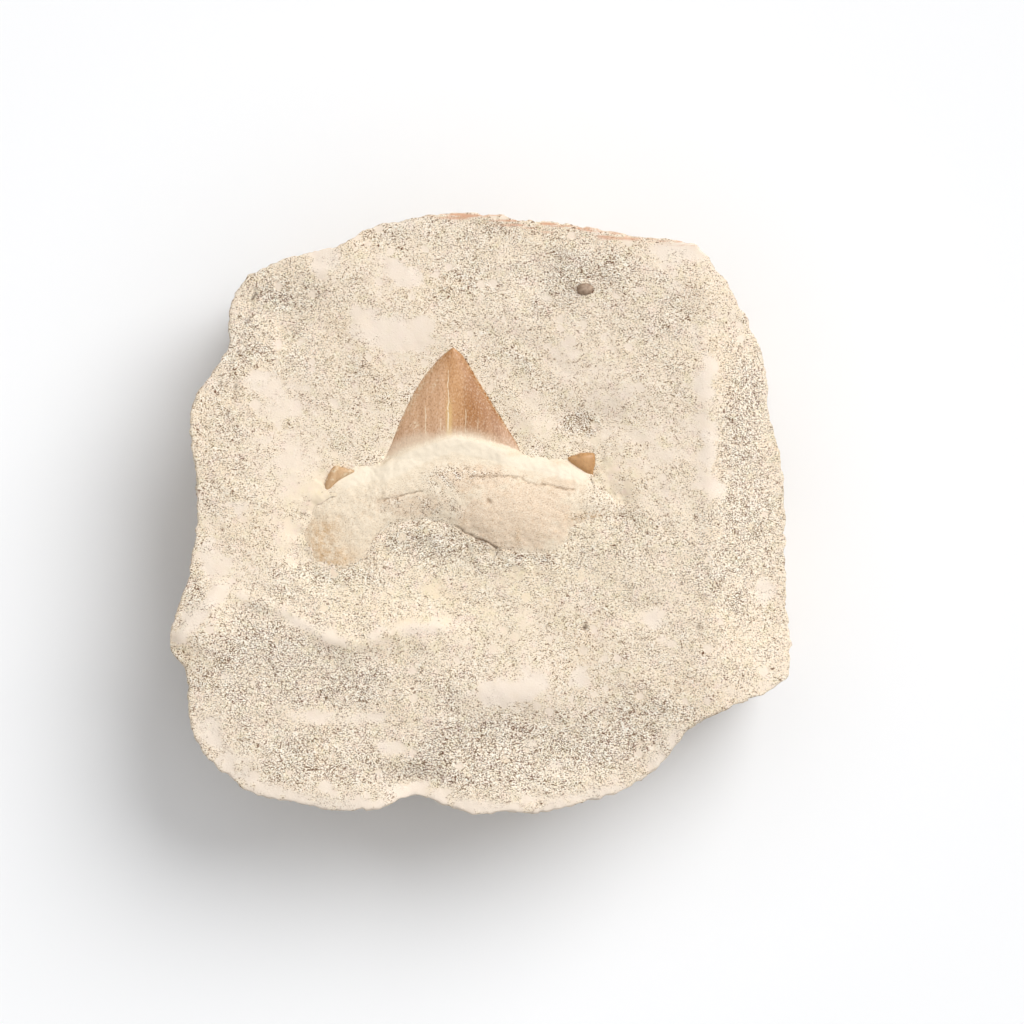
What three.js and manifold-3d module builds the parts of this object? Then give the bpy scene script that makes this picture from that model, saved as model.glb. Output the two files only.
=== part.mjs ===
// A fossil shark tooth lying in its block of sandy phosphate stone.
//
// Millimetres, +Z up. The stone rests on its flat base at z = 0 and the origin is the middle of
// that base. Seen from above, the tooth's tip points along +Y and its root spreads along X.
// Three loose pieces are built: the stone, the tooth (root, crown and side cusplets grown as one)
// and a small pebble. The stone's pockets are cut by its neighbours' own shapes, a little larger.

import * as THREE from 'three';
import { mergeVertices } from 'three/addons/utils/BufferGeometryUtils.js';
import Module from 'manifold-3d';

// ---- Driving dimensions ----

// How much larger each pocket in the stone is than the piece in it. The tooth's is wider, since
// its swollen shape keeps less than this at the tooth's thin ends.
const POCKETS = { tooth: 0.48, pebble: 0.34 };

// The stone's widest outline, anticlockwise from its rightmost point.
const OUTLINE = [
  [49.6, -23.0], [49.1, -17.0], [48.8, -10.4], [48.6, -2.6], [48.3, 2.4], [48.5, 7.2],
  [48.0, 10.4], [46.1, 16.0], [45.8, 19.5], [45.4, 23.8], [44.5, 27.7], [42.4, 32.0],
  [40.5, 35.5], [37.9, 39.2], [33.6, 43.4], [22.6, 45.0], [9.4, 47.0], [0.0, 48.2],
  [-10.7, 47.8], [-17.6, 46.4], [-23.8, 43.4], [-35.5, 39.5], [-38.4, 37.8], [-40.4, 31.5],
  [-40.4, 27.0], [-45.0, 20.2], [-46.6, 15.0], [-46.1, 10.1], [-45.6, 1.0], [-46.6, -6.5],
  [-49.3, -17.5], [-49.7, -21.2], [-47.3, -24.4], [-46.7, -31.0], [-45.6, -36.0],
  [-40.8, -41.4], [-35.2, -44.8], [-25.4, -46.8], [-16.3, -46.7], [-11.4, -45.1],
  [-4.5, -46.9], [4.0, -48.1], [8.5, -48.1], [19.2, -45.3], [27.4, -41.1], [31.7, -35.8],
  [38.9, -31.2], [48.2, -26.8],
];

const STONE = {
  top: 26.0, // level of the broken upper face
  slices: 96, // steps round the outline
  topRings: 16, // steps from the middle of the upper face to its edge
};

// Long, low waves of the upper face: height, length and shift of each.
const BROAD_WAVE = { height: 0.3, lengthX: 11.0, shiftX: 0.7, lengthY: 13.0, shiftY: -0.4 };
const CROSS_WAVE = { height: 0.15, length: 7.3 };

// The prepared hollow round the tooth, and how steeply it begins.
const HOLLOW = { x: -3.5, y: 2.5, rx: 38.0, ry: 33.0, depth: 1.2, steepness: 1.8 };

// The right edge, worn down at a slant that is weaker towards the lower corner.
const SLANT = { x: 35.5, run: 13.5, drop: 3.6, endY: -30.0, fade: 14.0, least: 0.35 };

// Local rises and dips of the upper face: middle, reach along X and Y, height.
const SWELLS = [
  [-20.0, -19.5, 15.0, 3.6, 0.8],
  [-9.0, -18.5, 8.0, 3.2, 0.7],
  [-30.0, 31.0, 8.0, 6.0, -1.0],
  [8.0, -38.0, 26.0, 7.0, -1.3],
  [-44.0, -19.0, 4.0, 6.0, 1.4],
  [16.0, 15.0, 6.0, 3.0, -0.9],
  [5.0, -28.0, 9.0, 4.0, 0.9],
  [-11.4, -43.0, 5.0, 3.0, -1.6],
  [24.0, 38.0, 10.0, 6.0, 0.8],
];

// The stone's side, from the sharp edge of the upper face down to the base, which is a little
// smaller: share of the outline's radius, and height as a share of the edge's own height.
const EDGE_SHARE = 0.994;
const SIDE = [
  [0.9995, 0.985],
  [1.0, 0.965],
  [0.9985, 0.9],
  [0.992, 0.62],
  [0.982, 0.36],
  [0.968, 0.1],
];
const BASE_SHARES = [0.945, 0.63, 0.31];

// The tooth's parts are rounded bodies. Each section has its place along the part, its low and
// high edge across it, the height of those edges, and how far it rises above and reaches below
// them. `rounding` shapes the upper side: 1 is an ellipse, and more than 1 meets the stone softly.
// `nose` is how far the closed ends stand past the first and last section.
const ROOT = {
  axis: 'x',
  steps: 28,
  rounding: 2.2,
  nose: 0.25,
  sections: [
    [-28.6, -6.2, -2.2, 24.4, 0.12, 1.0],
    [-27.2, -7.8, 1.4, 24.5, 0.6, 4.0],
    [-25.2, -9.6, 4.6, 24.6, 0.96, 6.4],
    [-22.4, -9.8, 7.0, 24.6, 1.32, 7.6],
    [-19.6, -8.8, 7.8, 24.6, 1.56, 8.0],
    [-17.8, -6.2, 8.0, 24.6, 1.68, 8.0],
    [-16.4, -3.6, 8.4, 24.6, 1.8, 8.0],
    [-14.4, -2.2, 9.6, 24.6, 1.92, 8.0],
    [-11.4, -1.6, 11.0, 24.6, 2.16, 8.2],
    [-8.2, -1.6, 12.2, 24.6, 2.34, 8.6],
    [-6.0, -2.4, 12.9, 24.6, 2.4, 8.8],
    [-4.2, -3.4, 13.2, 24.6, 2.4, 9.0],
    [-1.0, -4.8, 12.7, 24.6, 2.4, 9.2],
    [3.0, -6.5, 11.4, 24.6, 2.28, 9.0],
    [7.0, -7.1, 10.1, 24.6, 2.16, 8.4],
    [10.4, -7.1, 9.7, 24.6, 1.92, 8.0],
    [12.6, -6.2, 9.6, 24.6, 1.68, 7.6],
    [14.2, -3.4, 8.8, 24.6, 1.44, 7.2],
    [16.4, -1.8, 7.4, 24.6, 1.2, 6.6],
    [18.6, -1.2, 5.6, 24.6, 0.84, 5.6],
    [20.4, -0.7, 3.6, 24.5, 0.48, 4.0],
    [22.0, 0.4, 2.2, 24.5, 0.12, 1.0],
  ],
};

const CROWN = {
  axis: 'y',
  steps: 28,
  rounding: 1.5,
  nose: 0.25,
  sections: [
    [4.0, -15.8, 7.8, 24.1, 0.6, 3.6],
    [8.6, -15.5, 7.5, 24.4, 1.6, 4.4],
    [11.4, -14.4, 5.6, 24.5, 1.8, 4.4],
    [15.0, -13.0, 3.4, 24.6, 1.8, 4.2],
    [18.4, -11.4, 1.3, 24.7, 1.7, 3.8],
    [21.4, -9.7, -0.5, 24.9, 1.4, 3.2],
    [23.8, -7.8, -2.0, 25.1, 1.1, 2.4],
    [25.6, -6.1, -3.2, 25.4, 0.7, 1.5],
    [26.5, -4.9, -4.3, 25.6, 0.3, 0.5],
  ],
};

const LEFT_CUSPLET = {
  axis: 'y',
  steps: 14,
  rounding: 0.8,
  nose: 0.12,
  sections: [
    [3.4, -25.4, -24.2, 24.0, 0.3, 1.6],
    [4.4, -25.1, -23.8, 24.3, 0.7, 2.4],
    [5.4, -24.9, -22.9, 24.4, 0.9, 2.6],
    [6.2, -24.6, -21.6, 24.4, 1.0, 2.4],
    [7.0, -24.2, -20.3, 24.5, 0.9, 1.8],
    [7.4, -23.9, -21.4, 24.5, 0.7, 1.2],
    [7.8, -23.6, -23.0, 24.5, 0.4, 0.6],
  ],
};

const RIGHT_CUSPLET = {
  axis: 'y',
  steps: 14,
  rounding: 0.7,
  nose: 0.1,
  sections: [
    [6.4, 16.8, 17.7, 24.1, 0.4, 2.0],
    [7.1, 16.0, 17.8, 24.3, 0.8, 2.6],
    [8.2, 14.4, 18.1, 24.4, 1.0, 2.6],
    [9.1, 13.6, 18.1, 24.5, 1.0, 2.2],
    [9.6, 14.8, 18.0, 24.5, 0.8, 1.4],
    [9.9, 15.7, 17.8, 24.5, 0.5, 0.6],
  ],
};

const PEBBLE = {
  x: 16.4,
  y: 36.0,
  z: 26.0,
  rx: 1.5,
  ry: 1.05,
  rz: 1.1,
  turn: -0.12,
  slices: 18,
  rings: 10,
};

// Colour and roughness of each piece.
const LOOKS = {
  stone: { color: 0xe6d4be, roughness: 0.95 },
  tooth: { color: 0xf2e0c4, roughness: 0.45 },
  pebble: { color: 0xb9a28b, roughness: 0.6 },
};

// ---- Small helpers ----

const smooth = (t) => {
  const c = THREE.MathUtils.clamp(t, 0, 1);
  return c * c * (3 - 2 * c);
};

// A closed mesh from rings of points: neighbouring rings are joined, and both ends are capped
// with a fan to the first and last point.
function closedRings(first, rings, last) {
  const count = rings[0].length;
  const points = [first, ...rings.flat(), last];
  const index = [];
  const at = (ring, i) => 1 + ring * count + (i % count);
  for (let i = 0; i < count; i += 1) {
    index.push(0, at(0, i), at(0, i + 1));
  }
  for (let ring = 0; ring < rings.length - 1; ring += 1) {
    for (let i = 0; i < count; i += 1) {
      index.push(at(ring, i), at(ring + 1, i), at(ring + 1, i + 1));
      index.push(at(ring, i), at(ring + 1, i + 1), at(ring, i + 1));
    }
  }
  const end = points.length - 1;
  for (let i = 0; i < count; i += 1) {
    index.push(end, at(rings.length - 1, i + 1), at(rings.length - 1, i));
  }
  const geometry = new THREE.BufferGeometry().setFromPoints(points);
  geometry.setIndex(index);
  return geometry;
}

// A rounded body whose sections are set along one axis.
function loft({ axis, steps, rounding, nose, sections }) {
  const place = (along, across, z) =>
    axis === 'x' ? new THREE.Vector3(along, across, z) : new THREE.Vector3(across, along, z);
  // The sections along X are turned the other way, so that the faces point out along both axes.
  const turn = axis === 'x' ? -1 : 1;
  const rings = sections.map(([along, low, high, edge, rise, depth]) => {
    const middle = (low + high) / 2;
    const half = (high - low) / 2;
    const ring = [];
    for (let i = 0; i < steps; i += 1) {
      const angle = (turn * i * 2 * Math.PI) / steps;
      const up = Math.sin(angle);
      const height = up > 0 ? rise * up ** rounding : depth * up;
      ring.push(place(along, middle + half * Math.cos(angle), edge + height));
    }
    return ring;
  });
  const noseAt = ([along, low, high, edge], way) => place(along + way * nose, (low + high) / 2, edge);
  return closedRings(noseAt(sections[0], -1), rings, noseAt(sections[sections.length - 1], 1));
}

// The same closed mesh with every point moved outwards by `by`.
function swollen(geometry, by) {
  geometry.computeVertexNormals();
  const place = geometry.attributes.position;
  const way = geometry.attributes.normal;
  for (let i = 0; i < place.count; i += 1) {
    const x = place.getX(i) + way.getX(i) * by;
    const y = place.getY(i) + way.getY(i) * by;
    const z = place.getZ(i) + way.getZ(i) * by;
    place.setXYZ(i, x, y, z);
  }
  return geometry;
}

// ---- Solids for cutting and joining ----

const wasm = await Module();
wasm.setup();

function toSolid(geometry) {
  const plain = geometry.clone();
  plain.deleteAttribute('normal');
  plain.deleteAttribute('uv');
  const merged = mergeVertices(plain);
  const mesh = new wasm.Mesh({
    numProp: 3,
    vertProperties: new Float32Array(merged.attributes.position.array),
    triVerts: new Uint32Array(merged.index.array),
  });
  return new wasm.Manifold(mesh);
}

function toGeometry(solid) {
  const mesh = solid.getMesh();
  const geometry = new THREE.BufferGeometry();
  geometry.setAttribute('position', new THREE.BufferAttribute(mesh.vertProperties, 3));
  geometry.setIndex(new THREE.BufferAttribute(mesh.triVerts, 1));
  geometry.computeVertexNormals();
  return geometry;
}

// ---- Stone ----

// Height of the stone's upper face over a point of the base.
function faceHeight(x, y) {
  const waveX = Math.sin(x / BROAD_WAVE.lengthX + BROAD_WAVE.shiftX);
  const waveY = Math.cos(y / BROAD_WAVE.lengthY + BROAD_WAVE.shiftY);
  let z = STONE.top + BROAD_WAVE.height * waveX * waveY;
  z += CROSS_WAVE.height * Math.sin((x + y) / CROSS_WAVE.length);
  const reach = Math.hypot((x - HOLLOW.x) / HOLLOW.rx, (y - HOLLOW.y) / HOLLOW.ry);
  z -= HOLLOW.depth * smooth((1 - reach) * HOLLOW.steepness);
  const slantShare = SLANT.least + (1 - SLANT.least) * smooth((y - SLANT.endY) / SLANT.fade);
  z -= SLANT.drop * slantShare * smooth((x - SLANT.x) / SLANT.run);
  for (const [sx, sy, rx, ry, height] of SWELLS) {
    z += height * Math.exp(-(((x - sx) / rx) ** 2) - ((y - sy) / ry) ** 2);
  }
  return z;
}

function stoneBlock() {
  const corners = OUTLINE.map(([x, y]) => new THREE.Vector3(x, y, 0));
  const outline = new THREE.CatmullRomCurve3(corners, true).getSpacedPoints(STONE.slices);
  outline.pop(); // the curve ends where it began
  const ringAt = (share, height) =>
    outline.map((p) => new THREE.Vector3(p.x * share, p.y * share, height(p)));

  const rings = [];
  for (let i = 1; i <= STONE.topRings; i += 1) {
    const share = (EDGE_SHARE * i) / STONE.topRings;
    rings.push(ringAt(share, (p) => faceHeight(p.x * share, p.y * share)));
  }
  for (const [share, level] of SIDE) {
    rings.push(ringAt(share, (p) => level * faceHeight(p.x * EDGE_SHARE, p.y * EDGE_SHARE)));
  }
  for (const share of BASE_SHARES) {
    rings.push(ringAt(share, () => 0));
  }
  const top = new THREE.Vector3(0, 0, faceHeight(0, 0));
  return closedRings(top, rings, new THREE.Vector3(0, 0, 0));
}

// ---- Tooth ----

function toothSolid(grow) {
  const [root, ...others] = [ROOT, CROWN, LEFT_CUSPLET, RIGHT_CUSPLET].map((part) =>
    toSolid(swollen(loft(part), grow)),
  );
  return others.reduce((joined, part) => joined.add(part), root);
}

// ---- Pebble ----

function pebbleGeometry(grow) {
  const ball = new THREE.SphereGeometry(1, PEBBLE.slices, PEBBLE.rings);
  ball.scale(PEBBLE.rx + grow, PEBBLE.ry + grow, PEBBLE.rz + grow);
  ball.rotateZ(PEBBLE.turn);
  ball.translate(PEBBLE.x, PEBBLE.y, PEBBLE.z);
  return ball;
}

// ---- The assembly ----

function named(name, geometry, look) {
  const material = new THREE.MeshStandardMaterial({ ...look, metalness: 0 });
  const mesh = new THREE.Mesh(geometry, material);
  mesh.name = name;
  return mesh;
}

const stone = toSolid(stoneBlock())
  .subtract(toothSolid(POCKETS.tooth))
  .subtract(toSolid(pebbleGeometry(POCKETS.pebble)));

const group = new THREE.Group();
group.add(named('stone_matrix', toGeometry(stone), LOOKS.stone));
group.add(named('shark_tooth', toGeometry(toothSolid(0)), LOOKS.tooth));
group.add(named('grey_pebble', pebbleGeometry(0), LOOKS.pebble));

export default group;
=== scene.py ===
"""The looks of a fossil shark tooth lying in its block of sandy phosphate stone.

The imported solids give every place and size. This script puts finely worked meshes in their
place, paints them, and sets a pale studio round them. Lengths are millimetres in the object's
own frame, +Z up and the tooth's tip towards +Y, until a mesh is made, when they turn to metres.
"""

import logging
import math
from dataclasses import dataclass
from enum import Enum
from typing import Iterable, Optional, Sequence, Union

import bmesh
import bpy
import numpy as np
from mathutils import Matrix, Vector, noise
from mathutils.geometry import delaunay_2d_cdt


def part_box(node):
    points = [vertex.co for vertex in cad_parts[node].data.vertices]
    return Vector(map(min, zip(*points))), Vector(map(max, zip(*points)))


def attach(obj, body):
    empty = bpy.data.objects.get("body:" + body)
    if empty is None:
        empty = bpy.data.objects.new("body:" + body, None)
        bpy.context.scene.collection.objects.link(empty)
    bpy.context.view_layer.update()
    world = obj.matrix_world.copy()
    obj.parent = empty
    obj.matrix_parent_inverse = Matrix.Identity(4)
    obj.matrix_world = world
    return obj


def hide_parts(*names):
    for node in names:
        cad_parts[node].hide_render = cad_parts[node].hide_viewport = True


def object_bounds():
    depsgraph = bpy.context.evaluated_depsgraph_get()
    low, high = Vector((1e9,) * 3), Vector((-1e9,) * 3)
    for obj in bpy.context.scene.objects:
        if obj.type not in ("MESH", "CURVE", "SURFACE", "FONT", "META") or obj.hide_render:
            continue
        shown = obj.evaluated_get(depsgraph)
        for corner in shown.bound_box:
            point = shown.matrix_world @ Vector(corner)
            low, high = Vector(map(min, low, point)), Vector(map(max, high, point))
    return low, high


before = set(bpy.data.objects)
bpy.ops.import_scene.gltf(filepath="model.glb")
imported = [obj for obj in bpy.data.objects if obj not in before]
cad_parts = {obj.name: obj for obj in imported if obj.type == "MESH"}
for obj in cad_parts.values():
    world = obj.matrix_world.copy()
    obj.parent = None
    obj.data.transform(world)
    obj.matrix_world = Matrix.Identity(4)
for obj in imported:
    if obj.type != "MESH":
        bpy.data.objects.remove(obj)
CAD_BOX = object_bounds()

LOG = logging.getLogger("fossil")
MM = 0.001

Array = np.ndarray
Colour = tuple[float, float, float, float]


# ---------------------------------------------------------------- shapes in numbers

# What brings places down to the plane, where a pattern shall not change with height.
FLAT = np.array([1.0, 1.0, 0.0])
# How far one step of a seed moves the fractal noise and the facets.
NOISE_STEP = np.array([17.3, 9.1, 5.7])
FACET_STEP = np.array([3.7, 11.9, 7.3])
# Steps between two corners of a curve, before it is cut evenly.
CURVE_STEPS = 24
# How far a level patch reaches, as a share of its spot, and how steeply it ends.
PATCH_REACH = 1.25
PATCH_STEEPNESS = 2.2
# A distance in mm beyond everything, where the nearest or highest thing is looked for.
FAR = 1e9
# Keeps a logarithm away from 0.
TINY = 1e-9
# Points closer than this become one in a triangulation.
MERGED = 1e-6
# The middle of every noise.
MIDDLE = 0.5


def smooth(share: Array) -> Array:
    """Rises smoothly from 0 to 1 as share does."""
    held = np.clip(share, 0.0, 1.0)
    return held * held * (3.0 - 2.0 * held)


def fractal(points: Array, size: float, octaves: int = 4, seed: float = 0.0) -> Array:
    """Fractal noise round 0.

    Args:
        points: Places in mm, one row each.
        size: Length of the largest bumps, in mm.
        octaves: How many ever finer layers are added.
        seed: Moves the pattern.

    Returns:
        One value for each point, mostly within -1 and 1.
    """
    moved = points / size + NOISE_STEP * seed
    return np.array([noise.fractal(p, 1.0, 2.0, octaves) for p in moved.tolist()])


@dataclass(frozen=True)
class Swirl:
    """Fractal noise: its largest bumps in mm, finer layers, seed, and what multiplies it."""

    size: float
    octaves: int
    seed: float
    height: float = 1.0

    def at(self, points: Array) -> Array:
        """The noise at each point, mostly within its height of 0."""
        return self.height * fractal(points, self.size, self.octaves, self.seed)


@dataclass(frozen=True)
class Flakes:
    """Blunt facets: the distance between them in mm, seed, and what multiplies them."""

    size: float
    seed: float
    height: float = 1.0

    def at(self, points: Array) -> Array:
        """The facets at each point: 0 in their middles, about its height where they meet."""
        return self.height * facets(points, self.size, self.seed)


def facets(points: Array, size: float, seed: float = 0.0) -> Array:
    """Distance to the nearest of scattered seeds, as on a surface broken into blunt facets.

    Args:
        points: Places in mm, one row each.
        size: Distance between seeds, in mm.
        seed: Moves the pattern.

    Returns:
        0 at a seed, about 1 where facets meet.
    """
    moved = points / size + FACET_STEP * seed
    return np.array([noise.voronoi(p)[0][0] for p in moved.tolist()])


@dataclass(frozen=True)
class Span:
    """A smooth step from 0 at low to share at high. It falls where high is the lower."""

    low: float
    high: float
    share: float = 1.0

    def of(self, value: Union[Array, "Wire"]) -> Union[Array, "Wire"]:
        """The step over a value.

        Args:
            value: Numbers, or an output of a shader node.

        Returns:
            The step, of the same kind.
        """
        if not isinstance(value, Wire):
            return self.share * smooth((value - self.low) / (self.high - self.low))
        rising = self.low < self.high
        step = value.rise(self.low, self.high) if rising else 1.0 - value.rise(self.high, self.low)
        return step if self.share == 1.0 else step * self.share


def reach_towards(rim: Array, points: Array) -> Array:
    """How far a ring round the origin reaches in the direction of each point.

    Args:
        rim: The ring's points.
        points: Places in mm, one row each.

    Returns:
        The reaches in mm.
    """
    angle = np.arctan2(rim[:, 1], rim[:, 0])
    order = np.argsort(angle)
    bearing = np.arctan2(points[:, 1], points[:, 0])
    reach = np.hypot(rim[:, 0], rim[:, 1])[order]
    return np.interp(bearing, angle[order], reach, period=2 * math.pi)


def enclosed(points: Array, ring: Array) -> Array:
    """Tells which flat points lie inside a closed ring.

    Args:
        points: Places, in two columns.
        ring: The ring's corners, in two columns.

    Returns:
        True for each point inside.
    """
    after = np.roll(ring, -1, axis=0)
    inside = np.zeros(len(points), bool)
    for k, (x, y) in enumerate(points):
        spans = (ring[:, 1] > y) != (after[:, 1] > y)
        start, end = ring[spans], after[spans]
        share = (y - start[:, 1]) / (end[:, 1] - start[:, 1])
        cross = start[:, 0] + share * (end[:, 0] - start[:, 0])
        inside[k] = np.count_nonzero(cross > x) % 2 == 1
    return inside


def curve_through(corners: Sequence[Sequence[float]], steps: int, closed: bool) -> Array:
    """A smooth curve through corners, cut into equal steps.

    Args:
        corners: Points of any number of dimensions.
        steps: How many points come back.
        closed: Whether the curve returns to its first corner.

    Returns:
        Points at equal distances along the curve, one row each.
    """
    knots = np.asarray(corners, float)
    if closed:
        knots = np.vstack([knots[-1], knots, knots[0], knots[1]])
    else:
        knots = np.vstack([2 * knots[0] - knots[1], knots, 2 * knots[-1] - knots[-2]])
    fine = []
    share = np.linspace(0.0, 1.0, CURVE_STEPS, endpoint=False)[:, None]
    for a, b, c, d in zip(knots, knots[1:], knots[2:], knots[3:]):
        t1 = np.linalg.norm(b - a) ** 0.5
        t2 = t1 + np.linalg.norm(c - b) ** 0.5
        t3 = t2 + np.linalg.norm(d - c) ** 0.5
        t = t1 + (t2 - t1) * share
        ab = a * (t1 - t) / t1 + b * t / t1
        bc = b * (t2 - t) / (t2 - t1) + c * (t - t1) / (t2 - t1)
        cd = c * (t3 - t) / (t3 - t2) + d * (t - t2) / (t3 - t2)
        abc = ab * (t2 - t) / t2 + bc * t / t2
        bcd = bc * (t3 - t) / (t3 - t1) + cd * (t - t1) / (t3 - t1)
        fine.append(abc * (t2 - t) / (t2 - t1) + bcd * (t - t1) / (t2 - t1))
    path = np.vstack([*fine, knots[-2][None, :]])
    length = np.concatenate([[0.0], np.cumsum(np.linalg.norm(np.diff(path, axis=0), axis=1))])
    wanted = np.linspace(0.0, length[-1], steps, endpoint=not closed)
    return np.stack([np.interp(wanted, length, path[:, k]) for k in range(path.shape[1])], 1)


@dataclass(frozen=True)
class Spot:
    """A soft elliptical patch on the face, in mm."""

    x: float
    y: float
    rx: float
    ry: float
    weight: float = 1.0
    turn: float = 0.0

    def reach(self, points: Array) -> Array:
        """How far out each point is: 1 at the spot's own reaches, if it isn't turned."""
        return np.hypot((points[:, 0] - self.x) / self.rx, (points[:, 1] - self.y) / self.ry)

    def mask(self, points: Array) -> Array:
        """How strongly the spot shows at each point.

        Args:
            points: Places in mm.

        Returns:
            The weight in the middle, falling softly to 0.
        """
        dx, dy = points[:, 0] - self.x, points[:, 1] - self.y
        cos, sin = math.cos(self.turn), math.sin(self.turn)
        across = (cos * dx + sin * dy) / self.rx
        along = (cos * dy - sin * dx) / self.ry
        return self.weight * np.exp(-(across**2 + along**2))

    def patch(self, points: Array, ragged: Array) -> Array:
        """As mask, but level inside with a short ragged edge."""
        reach = np.sqrt(-np.log(np.clip(self.mask(points) / self.weight, TINY, 1.0)))
        return self.weight * smooth((PATCH_REACH - reach + ragged) * PATCH_STEEPNESS)


@dataclass(frozen=True)
class Trail:
    """A line over the face, in mm, such as a crack, a ridge or a step."""

    points: tuple[tuple[float, float], ...]
    width: float
    weight: float = 1.0

    def distance(self, points: Array) -> Array:
        """How far each point is from the line.

        Args:
            points: Places in mm.

        Returns:
            The distances in mm.
        """
        best = np.full(len(points), FAR)
        for a, b in zip(self.points, self.points[1:]):
            start, step = np.array(a), np.array(b) - np.array(a)
            share = np.clip((points[:, :2] - start) @ step / (step @ step), 0.0, 1.0)
            gap = points[:, :2] - start - share[:, None] * step
            best = np.minimum(best, np.hypot(gap[:, 0], gap[:, 1]))
        return best

    def mask(self, points: Array) -> Array:
        """1 times the weight on the line, falling softly to 0."""
        return self.weight * np.exp(-((self.distance(points) / self.width) ** 2))


Mark = Union[Spot, Trail]


def spots(*rows: tuple[float, ...]) -> tuple[Spot, ...]:
    """Spots from rows of middle, reach along X and Y, weight and turn."""
    return tuple(Spot(*row) for row in rows)


def trails(*rows: tuple) -> tuple[Trail, ...]:
    """Trails from rows of width, weight and the line's points."""
    return tuple(Trail(tuple(points), width, weight) for width, weight, *points in rows)


def gathered(marks: Iterable[Mark], points: Array) -> Array:
    """The sum of the marks' masks at each point."""
    return sum((mark.mask(points) for mark in marks), np.zeros(len(points)))


def strongest(masks: Iterable[Array]) -> Array:
    """The highest of the masks at each point."""
    return np.max(list(masks), axis=0)


# How cracks waver along X and along Y.
WANDER = (Swirl(1.8, 3, 17.0, 0.45), Swirl(1.8, 3, 18.0, 0.45))


def wandered(points: Array) -> Array:
    """Places pushed about in X and Y, so that cracks drawn through them waver.

    Args:
        points: Places in mm, one row each.

    Returns:
        The pushed places.
    """
    shifted = points.copy()
    for column, swirl in enumerate(WANDER):
        shifted[:, column] += swirl.at(points)
    return shifted


# ---------------------------------------------------------------- meshes

# Which parts of a surface look up: the height of its outward direction.
UPWARD = Span(0.3, 0.7)
# The cusplets' material number while the tooth is being joined; the rest has 0.
ENAMEL_INDEX = 1
# Length in mm over which the enamel layer rises from 0 to 1 across the collar.
COLLAR_RUN = 6.0
# Sections of a loft when its outline is looked up.
OUTLINE_STEPS = 240
# Height of a triangular lattice's rows, as a share of its step.
ROW_RATIO = 0.866


class Layer(Enum):
    """A painted layer: a number from 0 to 1 stored at each point of a mesh."""

    PREPARED = "prepared"
    ROUGH = "rough"
    PALE = "pale"
    STAIN = "stain"
    RUST = "rust"
    # Painted shade in cracks, holes and pits.
    CRACK_SHADE = "crack"
    WALL = "wall"
    OCHRE = "ochre"
    CRUST = "crust"
    ENAMEL = "enamel"
    DUST = "dust"


def new_piece(name: str, points: Array, faces: list[tuple[int, ...]]) -> bpy.types.Object:
    """Makes a mesh object from points in mm.

    Args:
        name: The piece's name.
        points: One row a point.
        faces: Point numbers of each face, anticlockwise seen from outside.

    Returns:
        The new object, shaded smooth.
    """
    mesh = bpy.data.meshes.new(name)
    mesh.from_pydata((points * MM).tolist(), [], faces)
    mesh.shade_smooth()
    piece = bpy.data.objects.new(name, mesh)
    bpy.context.scene.collection.objects.link(piece)
    return piece


def places_of(piece: bpy.types.Object) -> Array:
    """The piece's points in mm, one row each.

    Args:
        piece: The mesh object.

    Returns:
        The places.
    """
    flat = np.zeros(len(piece.data.vertices) * 3, np.float32)
    piece.data.vertices.foreach_get("co", flat)
    return flat.reshape(-1, 3).astype(float) / MM


def normals_of(piece: bpy.types.Object) -> Array:
    """The outward direction at each point of the piece, one row each.

    Args:
        piece: The mesh object.

    Returns:
        The directions.
    """
    flat = np.zeros(len(piece.data.vertices) * 3, np.float32)
    piece.data.vertex_normals.foreach_get("vector", flat)
    return flat.reshape(-1, 3).astype(float)


def move_points(piece: bpy.types.Object, points: Array) -> None:
    """Puts the piece's points at new places in mm."""
    piece.data.vertices.foreach_set("co", (points * MM).astype(np.float32).ravel())
    piece.data.update()


def paint_layer(piece: bpy.types.Object, layer: Layer, values: Array) -> None:
    """Stores a painted layer on the piece's points."""
    store = piece.data.attributes.new(layer.value, "FLOAT", "POINT")
    store.data.foreach_set("value", np.clip(values, 0.0, 1.0).astype(np.float32))


def boolean(piece: bpy.types.Object, other: bpy.types.Object, operation: str) -> None:
    """Joins or cuts a piece with another, which is then removed.

    Args:
        piece: The piece that changes.
        other: The closed mesh that it is joined to or cut by.
        operation: UNION or DIFFERENCE.
    """
    step = piece.modifiers.new(operation.lower(), "BOOLEAN")
    step.operation = operation
    step.solver = "MANIFOLD"
    step.object = other
    graph = bpy.context.evaluated_depsgraph_get()
    worked = bpy.data.meshes.new_from_object(piece.evaluated_get(graph), depsgraph=graph)
    piece.modifiers.clear()
    plain = piece.data
    piece.data = worked
    bpy.data.meshes.remove(plain)
    bpy.data.objects.remove(other)


def drop_crumbs(piece: bpy.types.Object) -> None:
    """Deletes the loose bits that a cut leaves beside the main body of a mesh.

    Args:
        piece: The mesh object.
    """
    mesh = bmesh.new()
    mesh.from_mesh(piece.data)
    waiting, islands = set(mesh.verts), []
    while waiting:
        island = [waiting.pop()]
        for point in island:
            around = [edge.other_vert(point) for edge in point.link_edges]
            fresh = [other for other in around if other in waiting]
            waiting.difference_update(fresh)
            island.extend(fresh)
        islands.append(island)
    for crumb in sorted(islands, key=len)[:-1]:
        bmesh.ops.delete(mesh, geom=crumb, context="VERTS")
    mesh.to_mesh(piece.data)
    mesh.free()


def ring_bands(first: Sequence[int], rings: int, count: int) -> list[tuple[int, ...]]:
    """Quads between neighbouring rings of points.

    Args:
        first: Number of the first point in each ring.
        rings: How many rings there are.
        count: Points in a ring.

    Returns:
        The faces, pointing out for rings that run anticlockwise and downwards.
    """
    faces = []
    for ring in range(rings - 1):
        a, b = first[ring], first[ring + 1]
        for i in range(count):
            j = (i + 1) % count
            faces.append((a + i, b + i, b + j, a + j))
    return faces


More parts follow.
